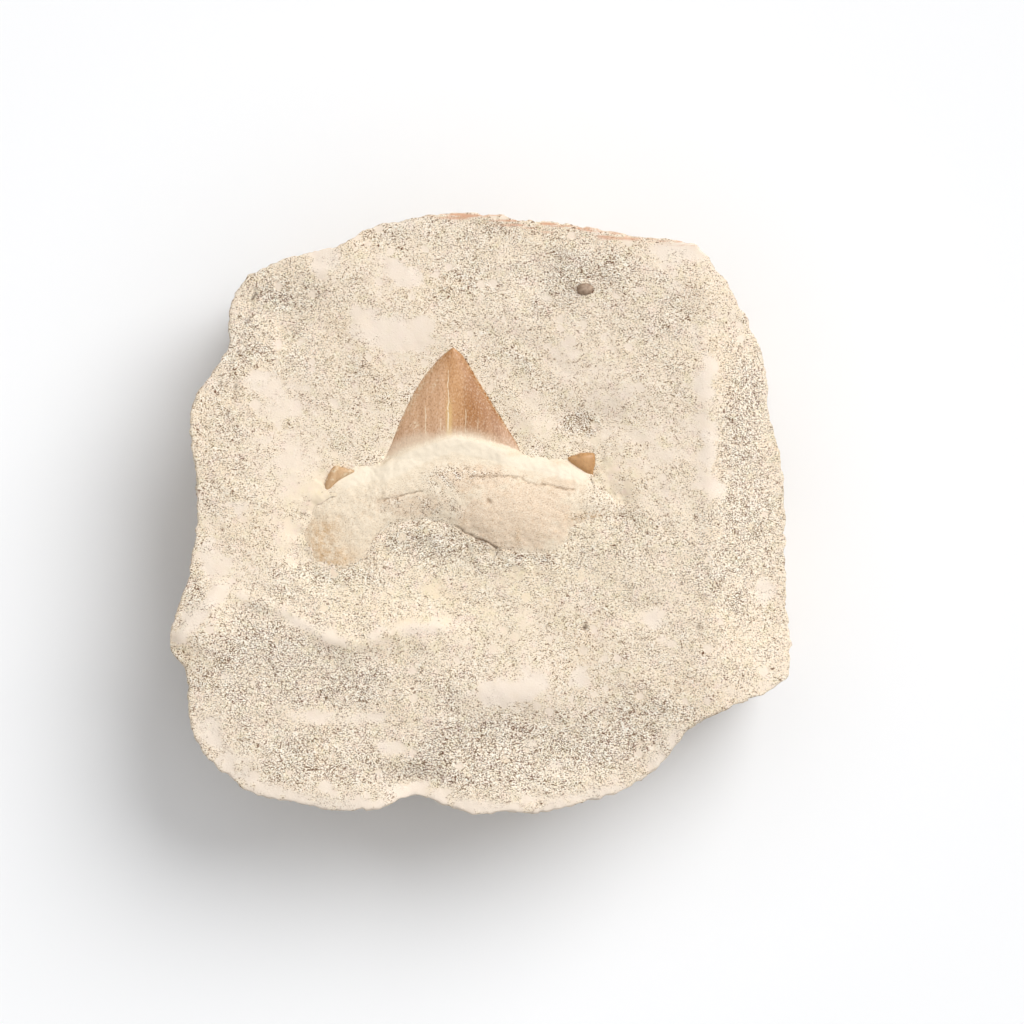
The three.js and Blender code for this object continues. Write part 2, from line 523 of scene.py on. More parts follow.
# ---------------------------------------------------------------- shader maths

Value = Union["Wire", float]


class Wire:
    """An output of a shader node, which Python expressions can work on."""

    def __init__(self, tree: "Tree", socket: bpy.types.NodeSocket) -> None:
        """Keeps the tree that the socket belongs to, and the socket."""
        self.tree = tree
        self.socket = socket

    def maths(self, operation: str, *values: Value) -> "Wire":
        """Adds one Math node.

        Args:
            operation: The node's operation.
            values: Its inputs in order.

        Returns:
            The node's output.
        """
        inputs = dict(enumerate(values))
        return self.tree.add("ShaderNodeMath", {"operation": operation}, inputs).out(0)

    def __add__(self, other: Value) -> "Wire":
        """self + other."""
        return self.maths("ADD", self, other)

    def __radd__(self, other: Value) -> "Wire":
        """other + self."""
        return self.maths("ADD", other, self)

    def __sub__(self, other: Value) -> "Wire":
        """self - other."""
        return self.maths("SUBTRACT", self, other)

    def __rsub__(self, other: Value) -> "Wire":
        """other - self."""
        return self.maths("SUBTRACT", other, self)

    def __mul__(self, other: Value) -> "Wire":
        """self * other."""
        return self.maths("MULTIPLY", self, other)

    def __rmul__(self, other: Value) -> "Wire":
        """other * self."""
        return self.maths("MULTIPLY", other, self)

    def held(self) -> "Wire":
        """The value kept within 0 and 1."""
        node = self.tree.add("ShaderNodeClamp", {}, {"Value": self, "Min": 0.0, "Max": 1.0})
        return node.out(0)

    def apart(self, place: float) -> "Wire":
        """How far the value lies from a place, either way."""
        shift = self - place
        return shift.maths("ABSOLUTE", shift)

    def rise(self, low: float, high: float) -> "Wire":
        """0 below low, 1 above high, and smooth between them.

        Args:
            low: Where it leaves 0.
            high: Where it reaches 1.

        Returns:
            The step.
        """
        settings = {"interpolation_type": "SMOOTHSTEP"}
        inputs = {"Value": self, "From Min": low, "From Max": high}
        return self.tree.add("ShaderNodeMapRange", settings, inputs).out(0)


class Step:
    """One node that has been added to a tree."""

    def __init__(self, tree: "Tree", node: bpy.types.Node) -> None:
        """Keeps the tree and the node."""
        self.tree = tree
        self.node = node

    def out(self, name: Union[str, int]) -> Wire:
        """The node's output of that name or number."""
        return Wire(self.tree, self.node.outputs[name])


Feed = Union[Wire, float, tuple[float, ...]]


class Tree:
    """A material's node tree, built from Python expressions."""

    def __init__(self, name: str) -> None:
        """Starts an empty material.

        Args:
            name: The material's name.
        """
        self.material = bpy.data.materials.new(name)
        self.material.use_nodes = True
        self.nodes = self.material.node_tree.nodes
        self.links = self.material.node_tree.links
        self.nodes.clear()

    def add(self, kind: str, settings: dict, inputs: dict) -> Step:
        """Adds a node.

        Args:
            kind: The node's type.
            settings: Its own settings, set first.
            inputs: Values or links for its sockets, by name or number.

        Returns:
            The new node.
        """
        node = self.nodes.new(kind)
        for key, value in settings.items():
            setattr(node, key, value)
        for key, value in inputs.items():
            if isinstance(value, Wire):
                self.links.new(value.socket, node.inputs[key])
            else:
                node.inputs[key].default_value = value
        return Step(self, node)

    def vector(self, operation: str, inputs: dict) -> Wire:
        """Adds one Vector Math node."""
        return self.add("ShaderNodeVectorMath", {"operation": operation}, inputs).out(0)

    def places(self) -> Wire:
        """The object's own coordinates in mm."""
        spot = self.add("ShaderNodeTexCoord", {}, {}).out("Object")
        return self.vector("SCALE", {0: spot, "Scale": 1 / MM})

    def parts(self, places: Wire) -> tuple[Wire, Wire]:
        """A vector's parts along X and Y."""
        split = self.add("ShaderNodeSeparateXYZ", {}, {0: places})
        return split.out(0), split.out(1)

    def layer(self, layer: Layer) -> Wire:
        """A painted layer of the mesh."""
        return self.add("ShaderNodeAttribute", {"attribute_name": layer.value}, {}).out("Fac")

    def mix(self, base: Feed, over: Feed, share: Value, blend: str = "MIX") -> Wire:
        """Lays one colour over another.

        Args:
            base: The colour below.
            over: The colour above.
            share: How much of it shows, from 0 to 1.
            blend: The way that they are mixed.

        Returns:
            The mixed colour.
        """
        settings = {"data_type": "RGBA", "blend_type": blend, "clamp_factor": True}
        return self.add("ShaderNodeMix", settings, {0: share, 6: base, 7: over}).out(2)

    def coats(self, colour: Feed, *coats: tuple[Feed, Value]) -> Feed:
        """Lays colours over one another.

        Args:
            colour: The lowest colour.
            coats: Each colour above it, and how much of it shows.

        Returns:
            The mixed colour.
        """
        for over, share in coats:
            colour = self.mix(colour, over, share)
        return colour

    def bumps(self, height: Wire, reach: float) -> Wire:
        """A surface direction that follows a height of 0 to 1, reach mm high."""
        inputs = {"Height": height, "Distance": reach * MM, "Strength": 1.0}
        return self.add("ShaderNodeBump", {}, inputs).out(0)

    def finish(self, inputs: dict) -> bpy.types.Material:
        """Ends the tree in one surface shader.

        Args:
            inputs: Values or links for the shader's sockets.

        Returns:
            The finished material.
        """
        surface = self.add("ShaderNodeBsdfPrincipled", {}, inputs)
        output = self.add("ShaderNodeOutputMaterial", {}, {})
        self.links.new(surface.out(0).socket, output.node.inputs[0])
        return self.material


@dataclass(frozen=True)
class Grain:
    """Noise of a finish: its size in mm, finer layers, their strength, and its stretch."""

    size: float
    detail: float = 3.0
    rough: float = 0.55
    stretch: Optional[tuple[float, float, float]] = None

    def over(self, places: Wire) -> Wire:
        """The noise, from 0 to 1.

        Args:
            places: Coordinates in mm.

        Returns:
            The noise node's output.
        """
        tree = places.tree
        if self.stretch:
            places = tree.vector("MULTIPLY", {0: places, 1: self.stretch})
        scale = {"Vector": places, "Scale": 1 / self.size}
        strength = {"Detail": self.detail, "Roughness": self.rough}
        return tree.add("ShaderNodeTexNoise", {}, scale | strength).out(0)


@dataclass(frozen=True)
class Cells:
    """Scattered cells: the distance between them, and the noise that pushes their edges about."""

    size: float
    swirl: float
    push: float

    def over(self, places: Wire) -> tuple[Wire, Wire]:
        """Adds the cells.

        Args:
            places: Coordinates in mm.

        Returns:
            Distance to the cell's middle in cells, and the cell's own random number.
        """
        tree = places.tree
        noisy = tree.add("ShaderNodeTexNoise", {}, {"Vector": places, "Scale": 1 / self.swirl})
        about = tree.vector("SUBTRACT", {0: noisy.out(1), 1: (MIDDLE, MIDDLE, MIDDLE)})
        pushed = tree.vector("SCALE", {0: about, "Scale": self.push})
        loose = tree.vector("ADD", {0: places, 1: pushed})
        inputs = {"Vector": loose, "Scale": 1 / self.size, "Randomness": 1.0}
        cells = tree.add("ShaderNodeTexVoronoi", {}, inputs)
        chance = tree.add("ShaderNodeSeparateColor", {}, {0: cells.out("Color")}).out(0)
        return cells.out("Distance"), chance


def tint(red: int, green: int, blue: int) -> Colour:
    """A colour of a paint chart, 0 to 255, as the linear light that shaders use.

    Args:
        red: The red channel.
        green: The green channel.
        blue: The blue channel.

    Returns:
        The colour.
    """

    def linear(level: int) -> float:
        """One channel as linear light."""
        share = level / 255
        return share / 12.92 if share <= 0.04045 else ((share + 0.055) / 1.055) ** 2.4

    return linear(red), linear(green), linear(blue), 1.0


# ---------------------------------------------------------------- finishes


@dataclass(frozen=True)
class Sand:
    """Cemented sand: pale grains with brown gaps between them. The gaps also carry painted shade
    between the grains, and the lightest grain tops a painted highlight.
    """

    # Brown cement between grains, also used as painted shade there.
    gap: Colour = tint(92, 46, 8)
    olive: Colour = tint(92, 62, 8)
    mauve: Colour = tint(100, 52, 24)
    # Pale grain tops, also used as a painted highlight.
    light: Colour = tint(255, 250, 238)
    speck: Colour = tint(66, 42, 20)
    grit: Grain = Grain(0.18, 1.0, 0.6, (0.8, 1.25, 1.0))
    blots: Grain = Grain(0.9, 3.0, 0.7)
    hues: Grain = Grain(0.7, 2.0, 0.6)
    dashes: Grain = Grain(0.4, 2.0, 0.6, (0.55, 1.5, 1.0))
    specks: Grain = Grain(0.2, 1.0, 0.5)
    cells: Cells = Cells(0.55, 0.4, 0.25)
    # How much blots and clumps of grains add to the height, and how much calm sand is raised.
    blot_height: float = 0.14
    clump_height: float = 0.1
    clump_middle: float = 0.42
    chance_height: float = 0.05
    calm_height: float = 0.12
    calm_drop: float = 0.02
    # Heights and busyness where the gaps, pale grains, dashes and specks show. The gaps' brown is
    # partly painted shade between grains, and the pale grain tops are partly a painted highlight.
    gap_and_shade_heights: Span = Span(0.45, 0.365)
    gap_and_shade_busy: Span = Span(0.0, 0.35)
    pale_and_highlight_heights: Span = Span(0.51, 0.59, 0.9)
    pale_and_highlight_least: float = 0.1
    olive_hues: Span = Span(0.52, 0.62)
    mauve_hues: Span = Span(0.44, 0.34)
    dash_blots: float = 0.45
    dash_levels: Span = Span(0.62, 0.50, 0.3)
    dash_busy: Span = Span(0.0, 0.4)
    speck_levels: Span = Span(0.35, 0.27, 0.85)
    speck_busy: Span = Span(0.1, 0.5)

    def lay(self, tree: Tree, places: Wire, base: Wire, busy: Wire) -> tuple[Wire, Wire]:
        """Lays the sand over a colour.

        Args:
            tree: The material that it is part of.
            places: Coordinates in mm.
            base: The colour below.
            busy: How much sand shows, from 0 to 1.

        Returns:
            The new colour, and a height of about 0 to 1 for bumps.
        """
        blots = self.blots.over(places)
        distance, chance = self.cells.over(places)
        level = self.grit.over(places) + (blots - MIDDLE) * self.blot_height
        level = level + (self.clump_middle - distance) * self.clump_height
        level = level + (chance - MIDDLE) * self.chance_height
        lifted = level + (1.0 - busy) * self.calm_height - self.calm_drop
        hues = self.hues.over(places)
        gap = tree.coats(
            self.gap, (self.olive, self.olive_hues.of(hues)), (self.mauve, self.mauve_hues.of(hues))
        )
        dashes = self.dash_levels.of(self.dashes.over(places) + blots * self.dash_blots)
        colour = tree.coats(
            base,
            # Gaps where the noise is low: brown cement and painted shade between grains.
            (gap, self.gap_and_shade_heights.of(lifted) * self.gap_and_shade_busy.of(busy)),
            (gap, dashes * self.dash_busy.of(busy)),
            # Pale grain tops, partly a painted highlight.
            (self.light, self.pale_and_highlight_heights.of(level) * (busy + self.pale_and_highlight_least)),
            (self.speck, self.speck_levels.of(self.specks.over(places)) * self.speck_busy.of(busy)),
        )
        return colour, level


@dataclass(frozen=True)
class SandyStone:
    """Pale phosphate sand, cemented to rock: cream where worked, greyer where broken."""

    worked: Colour = tint(240, 222, 195)
    broken: Colour = tint(241, 222, 197)
    pink: Colour = tint(242, 217, 200)
    straw: Colour = tint(235, 220, 184)
    pale: Colour = tint(247, 236, 224)
    chalk: Colour = tint(241, 226, 211)
    wall: Colour = tint(176, 157, 130)
    warm: Colour = tint(240, 216, 182)
    rust: Colour = tint(220, 172, 142)
    stain: Colour = tint(146, 118, 88)
    # Painted shade in the cracks and holes.
    deep: Colour = tint(84, 64, 48)
    dust: Colour = tint(226, 211, 192)
    drift: Grain = Grain(11.0, 3.0)
    tinge: Grain = Grain(2.0, 4.0, 0.65)
    patches: Grain = Grain(3.0, 5.0, 0.66, (0.85, 1.15, 1.0))
    streaks: Grain = Grain(1.0, 4.0, 0.6, (0.22, 1.6, 0.8))
    clouds: Grain = Grain(0.35, 3.0, 0.6)
    fine: Grain = Grain(0.3, 3.0, 0.65)
    pebbles: Cells = Cells(1.8, 1.2, 1.0)
    # Levels of the noises where each colour shows.
    warm_drift: Span = Span(0.45, 0.75, 0.45)
    pink_tinge: Span = Span(0.52, 0.70, 0.6)
    straw_tinge: Span = Span(0.48, 0.32, 0.6)
    pale_share: float = 0.7
    rust_streaks: Span = Span(0.46, 0.62)
    stain_clouds: Span = Span(0.36, 0.6, 0.5)
    chalk_calm: Span = Span(0.45, 0.1, 0.6)
    # Bare pebbles among the sand: how large they are, and how many cells hold one.
    pebble_reach: Span = Span(0.5, 0.25)
    pebble_chance: Span = Span(0.84, 0.96)
    # What patches, pebbles, stains and walls do to the sand that shows.
    patch_busy: float = 1.6
    pebble_calm: float = 0.8
    stain_busy: float = 1.1
    wall_calm: float = 0.5
    # Bumps of the sand and of the fine noise, where calm, and what busyness adds.
    sand_bumps: tuple[float, float] = (0.15, 0.85)
    fine_bumps: tuple[float, float] = (0.25, 0.35)
    bump_reach: float = 0.12
    roughness: float = 0.92
    specular: float = 0.25

    def make(self) -> bpy.types.Material:
        """Builds the stone's material.

        Returns:
            The material.
        """
        tree = Tree("sandy_stone")
        places = tree.places()
        wall, stain = tree.layer(Layer.WALL), tree.layer(Layer.STAIN)
        prepared = tree.layer(Layer.PREPARED)
        tinge = self.tinge.over(places)
        colour = tree.coats(
            self.broken,
            (self.worked, prepared),
            (self.warm, self.warm_drift.of(self.drift.over(places))),
            (self.pink, self.pink_tinge.of(tinge)),
            (self.straw, self.straw_tinge.of(tinge)),
            (self.pale, tree.layer(Layer.PALE) * self.pale_share),
            (self.dust, tree.layer(Layer.DUST)),
            (self.wall, wall),
        )
        distance, chance = self.pebbles.over(places)
        bare = self.pebble_reach.of(distance) * self.pebble_chance.of(chance)
        busy = tree.layer(Layer.ROUGH) + (self.patches.over(places) - MIDDLE) * self.patch_busy
        busy = busy - bare * self.pebble_calm + stain * self.stain_busy
        busy = (busy * (1.0 - wall * self.wall_calm)).held()
        chalky = self.chalk_calm.of(busy) * (1.0 - prepared) * (1.0 - wall)
        colour = tree.mix(colour, self.chalk, chalky)
        colour, height = Sand().lay(tree, places, colour, busy)
        streaks = self.rust_streaks.of(self.streaks.over(places))
        colour = tree.coats(
            colour,
            (self.rust, tree.layer(Layer.RUST) * streaks),
            (self.stain, stain * self.stain_clouds.of(self.clouds.over(places))),
            # Painted shade in the cracks and holes.
            (self.deep, tree.layer(Layer.CRACK_SHADE)),
        )
        (sand, busy_sand), (fine, busy_fine) = self.sand_bumps, self.fine_bumps
        height = height * (sand + busy * busy_sand)
        height = height + self.fine.over(places) * (fine + busy * busy_fine)
        return tree.finish(
            {
                "Base Color": colour,
                "Roughness": self.roughness,
                "Specular IOR Level": self.specular,
                "Normal": tree.bumps(height, self.bump_reach),
            }
        )


@dataclass(frozen=True)
class Enamel:
    """Tan, glossy enamel: lighter on the crown's left side, partly a painted sheen, amber on the
    cusplets.
    """

    # The crown's left side, lighter than its right: enamel colour and partly a painted sheen.
    left: Colour = tint(217, 173, 134)
    right: Colour = tint(172, 115, 58)
    gold: Colour = tint(208, 156, 104)
    umber: Colour = tint(194, 142, 94)
    amber: Colour = tint(208, 162, 112)
    # Mauve-grey painted shade at the crown's foot.
    foot_shade: Colour = tint(206, 168, 138)
    streak: Colour = tint(242, 222, 190)
    honey_highlight: Colour = tint(232, 196, 128)
    deep: Colour = tint(120, 88, 58)
    dark_speck: Colour = (0.62, 0.55, 0.48, 1.0)
    light_speck: Colour = (0.9, 0.78, 0.62, 1.0)
    shade: Colour = (0.66, 0.56, 0.46, 1.0)
    bands: Grain = Grain(0.8, 3.0, 0.6, (1.0, 0.07, 1.0))
    cloud: Grain = Grain(3.0, 3.0)
    speckle: Grain = Grain(0.22, 2.0, 0.6, (1.0, 0.6, 1.0))
    wear: Grain = Grain(0.35, 3.0, 0.6)
    patches: Grain = Grain(1.5, 3.0, 0.6)
    smut: Grain = Grain(0.45, 3.0, 0.7)
    wander: Grain = Grain(2.2, 3.0, 0.6, (0.0, 1.0, 0.0))
    breaks: Grain = Grain(0.5, 2.0)
    # Along X: the change from the left side to the right, and the gold strip between them. The left
    # side's lighter colour is partly a painted sheen.
    sides: Span = Span(-6.2, -1.4)
    side_sway: float = 2.0
    strip_start: Span = Span(-6.2, -5.2, 0.7)
    strip_end: Span = Span(-1.6, -4.0)
    # Along Y: the umber tip and the painted shade at the crown's foot, where it lies below the
    # root's band, which the bands streak.
    tip: Span = Span(21.5, 25.5, 0.7)
    foot: Span = Span(17.0, 11.0)
    foot_least: float = 0.35
    foot_bands: float = 0.6
    band_shade: Span = Span(0.6, 0.32, 0.35)
    dark_specks: Span = Span(0.5, 0.3, 0.75)
    light_specks: Span = Span(0.52, 0.68, 0.26)
    worn: Span = Span(0.46, 0.6, 0.75)
    # Distance from the crown's middle where the cusplets' own colour takes over.
    crown_middle: float = -4.0
    crown_reach: Span = Span(13.6, 12.6)
    cusp_smut: Span = Span(0.44, 0.6, 0.4)
    cusp_specks: Span = Span(0.42, 0.3, 0.4)
    # Pale patches on the left cusplet alone.
    left_cusp: Span = Span(-18.0, -19.0)
    cusp_patches: Span = Span(0.48, 0.62, 0.6)
    cusp_pale: float = 0.25
    # A lighter honey strip beside the long crack: golden enamel and a painted highlight.
    highlight_place: float = -5.2
    highlight_reach: Span = Span(0.7, 0.2, 0.5)
    highlight_height: Span = Span(19.5, 16.0)
    # Fine upright cracks: place along X, lower and upper end along Y, width and strength.
    cracks: tuple[tuple[float, float, float, float, float], ...] = (
        (-5.35, 13.2, 18.8, 0.15, 1), (-5.35, 18.2, 23.4, 0.1, 0.85),
        (-8.95, 12.6, 17.6, 0.1, 0.8), (-6.5, 13.2, 15.8, 0.08, 0.7),
        (-2.55, 12.8, 17.2, 0.1, 0.6), (-0.6, 13.2, 15.8, 0.08, 0.5),
        (-7.4, 20.6, 21.4, 0.12, 0.6), (-10.2, 14.4, 16.6, 0.09, 0.35),
    )
    crack_sway: float = 0.7
    crack_core: float = 0.4
    crack_start: float = 0.5
    crack_end: float = 0.8
    crack_breaks: Span = Span(0.25, 0.5)

    def colour(self, tree: Tree, places: Wire) -> Wire:
        """The enamel's colour.

        Args:
            tree: The material that it is part of.
            places: Coordinates in mm.

        Returns:
            The colour.
        """
        x, y = tree.parts(places)
        bands, speckle = self.bands.over(places), self.speckle.over(places)
        across = x + (self.cloud.over(places) - MIDDLE) * self.side_sway
        # Painted shade at the crown's foot, streaked by the bands.
        foot = self.foot.of(y) * (self.foot_least + bands * self.foot_bands)
        colour = tree.coats(
            self.left,
            (self.right, self.sides.of(across)),
            (self.gold, self.strip_start.of(x) * self.strip_end.of(x)),
            (self.umber, self.tip.of(y)),
            (self.foot_shade, foot),
        )
        colour = tree.mix(colour, self.dark_speck, self.dark_specks.of(speckle), "MULTIPLY")
        worn = tree.layer(Layer.PALE) * self.worn.of(self.wear.over(places))
        colour = tree.coats(
            colour, (self.light_speck, self.light_specks.of(speckle)), (self.streak, worn)
        )
        patches = self.cusp_patches.of(self.patches.over(places)) + self.cusp_pale
        amber = tree.coats(
            self.amber,
            (self.umber, self.cusp_smut.of(self.smut.over(places))),
            (self.streak, patches * self.left_cusp.of(x)),
            (self.deep, self.cusp_specks.of(speckle)),
        )
        colour = tree.mix(amber, colour, self.crown_reach.of(x.apart(self.crown_middle)))
        colour = tree.mix(colour, self.shade, self.band_shade.of(bands), "MULTIPLY")
        # Painted highlight beside the long crack, in a honey colour, over golden enamel.
        highlight = self.highlight_reach.of(x.apart(self.highlight_place)) * self.highlight_height.of(y)
        colour = tree.mix(colour, self.honey_highlight, highlight)
        swayed = x + (self.wander.over(places) - MIDDLE) * self.crack_sway
        broken = self.crack_breaks.of(self.breaks.over(places))
        for place, low, high, width, strength in self.cracks:
            line = Span(width, width * self.crack_core, strength).of(swayed.apart(place))
            start = Span(low, low + self.crack_start).of(y)
            end = Span(high, high - self.crack_end).of(y)
            colour = tree.mix(colour, self.streak, line * start * end * broken)
        return colour


@dataclass(frozen=True)
class Bone:
    """The root's cream bone, with a milky band that is paler bone with painted light on its crest,
    pink worn faces and ochre stains.
    """

    cream: Colour = tint(245, 229, 204)
    plain: Colour = tint(240, 222, 196)
    pink: Colour = tint(234, 209, 181)
    # The band's lightest middle: paler bone and a painted highlight on its crest.
    milk_and_highlight: Colour = tint(248, 235, 214)
    ochre: Colour = tint(216, 180, 136)
    deep: Colour = tint(120, 88, 58)
    mottle: Grain = Grain(2.4, 4.0)
    tinge: Grain = Grain(1.1, 4.0, 0.65)
    clouds: Grain = Grain(0.9, 4.0)
    specks: Grain = Grain(0.16, 2.0, 0.6)
    mottle_share: float = 1.2
    milk_and_highlight_band: Span = Span(0.6, 1.0, 0.5)
    ochre_tinge: Span = Span(0.54, 0.7, 0.35)
    ochre_least: float = 0.35
    ochre_clouds: Span = Span(0.36, 0.6, 0.65)
    band_calm: float = 0.7
    dark_specks: Span = Span(0.48, 0.3, 0.3)
    light_specks: Span = Span(0.5, 0.66, 0.8)

    def colour(self, tree: Tree, places: Wire) -> Wire:
        """The bone's colour.

        Args:
            tree: The material that it is part of.
            places: Coordinates in mm.

        Returns:
            The colour.
        """
        band = tree.layer(Layer.PALE)
        mottle = (self.mottle.over(places) - MIDDLE) * self.mottle_share
        clouds = self.ochre_clouds.of(self.clouds.over(places)) + self.ochre_least
        specks, plain = self.specks.over(places), 1.0 - band * self.band_calm
        return tree.coats(
            self.plain,
            # The band: paler bone, partly painted light where its crest faces up.
            (self.cream, band + mottle),
            (self.milk_and_highlight, self.milk_and_highlight_band.of(band)),
            (self.pink, tree.layer(Layer.PREPARED)),
            (self.ochre, self.ochre_tinge.of(self.tinge.over(places)) * (1.0 - band)),
            (self.ochre, tree.layer(Layer.OCHRE) * clouds),
            (self.deep, self.dark_specks.of(specks) * plain),
            (self.cream, self.light_specks.of(specks) * plain),
        )


@dataclass(frozen=True)
class ToothSkin:
    """The tooth's skin: enamel on the crown and cusplets, bone on the root."""

    enamel: Enamel = Enamel()
    bone: Bone = Bone()
    comb: Grain = Grain(0.5, 3.0, 0.6, (1.0, 0.12, 1.0))
    fine: Grain = Grain(0.5, 4.0)
    # Along X: where the collar is crisp, and where it is frayed.
    crisp: Span = Span(0.0, 4.0)
    frayed: Span = Span(-7.0, -10.5)
    comb_reach: float = 1.8
    crisp_comb: float = 1.3
    crisp_gloss: float = 2.0
    gloss: Span = Span(-0.3, 0.9)
    # The pale haze on the enamel just above the collar.
    haze: Span = Span(2.0, 0.2, 0.65)
    haze_comb: tuple[float, float] = (0.3, 0.7)
    crisp_haze: float = 0.7
    fine_height: float = 0.5
    gloss_flat: float = 0.9
    bump_reach: float = 0.08
    roughness: tuple[float, float] = (0.72, 0.36)
    specular: float = 0.4

    def make(self) -> bpy.types.Material:
        """Builds the tooth's material.

        Returns:
            The material.
        """
        tree = Tree("tooth_skin")
        places = tree.places()
        comb, x = self.comb.over(places), tree.parts(places)[0]
        crisp = self.crisp.of(x)
        above = (tree.layer(Layer.ENAMEL) - MIDDLE) * COLLAR_RUN
        above = above + (comb - MIDDLE) * (self.comb_reach - crisp * self.crisp_comb)
        glossy = self.gloss.of(above * (1.0 + crisp * self.crisp_gloss))
        crust = tree.layer(Layer.CRUST)
        bone, height = Sand().lay(tree, places, self.bone.colour(tree, places), crust)
        least, combed = self.haze_comb
        haze = self.haze.of(above - self.frayed.of(x)) * (least + comb * combed)
        haze = haze * (1.0 - crisp * self.crisp_haze)
        enamel = tree.mix(self.enamel.colour(tree, places), self.bone.cream, haze)
        # Painted shade in the root's cracks and pits.
        colour = tree.coats(bone, (enamel, glossy), (self.bone.deep, tree.layer(Layer.CRACK_SHADE)))
        height = height * crust + self.fine.over(places) * self.fine_height
        matt, polish = self.roughness
        return tree.finish(
            {
                "Base Color": colour,
                "Roughness": matt - glossy * polish,
                "Specular IOR Level": self.specular,
                "Normal": tree.bumps(height * (1.0 - glossy * self.gloss_flat), self.bump_reach),
            }
        )


@dataclass(frozen=True)
class GreyFlint:
    """The pebble's grey-brown skin."""

    skin: Colour = tint(182, 158, 136)
    shade: Colour = tint(142, 118, 98)
    clouds: Grain = Grain(0.5, 3.0)
    fine: Grain = Grain(0.3, 3.0)
    shade_levels: Span = Span(0.35, 0.7)
    roughness: float = 0.6
    bump_reach: float = 0.05

    def make(self) -> bpy.types.Material:
        """Builds the pebble's material.

        Returns:
            The material.
        """
        tree = Tree("pebble_skin")
        places = tree.places()
        shaded = self.shade_levels.of(self.clouds.over(places))
        return tree.finish(
            {
                "Base Color": tree.mix(self.skin, self.shade, shaded),
                "Roughness": self.roughness,
                "Normal": tree.bumps(self.fine.over(places), self.bump_reach),
            }
        )


@dataclass(frozen=True)
class StudioWhite:
    """The plain pale floor."""

    white: Colour = (0.925, 0.93, 0.94, 1.0)

    def make(self) -> bpy.types.Material:
        """Builds the floor's material."""
        tree = Tree("studio_white")
        return tree.finish({"Base Color": self.white, "Roughness": 1.0, "Specular IOR Level": 0.0})


# ---------------------------------------------------------------- the tooth


class Axis(Enum):
    """The axis that a lofted part runs along."""

    X = 0
    Y = 1


Section = tuple[float, float, float, float, float, float]


@dataclass(frozen=True)
class Loft:
    """A rounded part of the tooth, from sections across one axis.

    Each section has its place along the part, its low and high edge across it, the height of
    those edges, and how far it rises above and reaches below them.
    """

    name: str
    axis: Axis
    sections: tuple[Section, ...]
    steps_along: int
    steps_above: int
    steps_below: int
    # How the upper side is rounded: 1 is an ellipse, 2 a parabola that meets the stone softly.
    rounding: float = 1.5
    nose: float = 0.25
    # Fewest steps along, above and below in a coarse copy.
    least_steps: tuple[int, int, int] = (8, 8, 6)

    def rows(self, steps: int) -> Array:
        """The sections, smoothed and cut into even steps."""
        return curve_through(self.sections, steps, closed=False)

    def top(self, points: Array) -> Array:
        """Height of the upper side at each point, or far below where the part isn't.

        Args:
            points: Places in mm, one row each.

        Returns:
            The heights in mm.
        """
        rows = self.rows(OUTLINE_STEPS)
        along, across = points[:, self.axis.value], points[:, 1 - self.axis.value]
        low, high, edge, rise = (np.interp(along, rows[:, 0], rows[:, k]) for k in (1, 2, 3, 4))
        share = (across - (low + high) / 2) / ((high - low) / 2)
        inside = (np.abs(share) < 1.0) & (along > rows[0, 0]) & (along < rows[-1, 0])
        swell = np.clip(1.0 - share**2, 0.0, 1.0) ** (self.rounding / 2)
        return np.where(inside, edge + rise * swell, -FAR)

    def depth(self, points: Array) -> Array:
        """How far inside the part's outline each point is: 0 at its edge, 1 along its middle.

        Args:
            points: Places in mm, one row each.

        Returns:
            The depths, from 0 to 1.
        """
        rows = self.rows(OUTLINE_STEPS)
        along, across = points[:, self.axis.value], points[:, 1 - self.axis.value]
        low, high = (np.interp(along, rows[:, 0], rows[:, k]) for k in (1, 2))
        share = (across - (low + high) / 2) / ((high - low) / 2)
        return np.clip(1.0 - share**2, 0.0, 1.0)

    def rim(self) -> Array:
        """Points along the part's edge, with its height there.

        Returns:
            Places in mm, one row each.
        """
        rows = self.rows(OUTLINE_STEPS)
        lows = self._placed(rows[:, 0], rows[:, 1], rows[:, 3])
        highs = self._placed(rows[:, 0], rows[:, 2], rows[:, 3])
        return np.vstack([lows, highs])

    def build(self, detail: float = 1.0) -> bpy.types.Object:
        """Makes the part's closed mesh.

        Args:
            detail: Share of the full number of steps.

        Returns:
            The new object.
        """
        along, over, under = self.least_steps
        above = max(over, int(self.steps_above * detail))
        below = max(under, int(self.steps_below * detail))
        rows = self.rows(max(along, int(self.steps_along * detail)))
        angles = np.concatenate(
            [
                np.linspace(0.0, math.pi, above, endpoint=False),
                np.linspace(math.pi, 2 * math.pi, below, endpoint=False),
            ]
        )
        # The sections along X are turned the other way, so that the faces point out along both.
        angles = angles[::-1] if self.axis is Axis.X else angles
        rings = []
        for place, low, high, edge, rise, depth in rows:
            side = np.sin(angles)
            across = (low + high) / 2 + (high - low) / 2 * np.cos(angles)
            lift = rise * np.clip(side, 0.0, 1.0) ** self.rounding
            height = edge + np.where(side > 0, lift, depth * side)
            rings.append(self._placed(np.full(len(angles), place), across, height))
        start = self._nose(rows[0], -self.nose)
        end = self._nose(rows[-1], self.nose)
        count = len(angles)
        points = np.vstack([start, *rings, end])
        starts = [1 + k * count for k in range(len(rings))]
        faces = ring_bands(starts, len(rings), count)
        last = len(points) - 1
        for i in range(count):
            j = (i + 1) % count
            faces.append((0, starts[0] + i, starts[0] + j))
            faces.append((last, starts[-1] + j, starts[-1] + i))
        return new_piece(self.name, points, faces)

    def _placed(self, along: Array, across: Array, height: Array) -> Array:
        """Points from their places along, across and above the part."""
        pair = (along, across) if self.axis is Axis.X else (across, along)
        return np.column_stack([*pair, height])

    def _nose(self, row: Array, shift: float) -> Array:
        """The point that closes one end."""
        middle = (row[1] + row[2]) / 2
        return self._placed(np.array([row[0] + shift]), np.array([middle]), np.array([row[3]]))


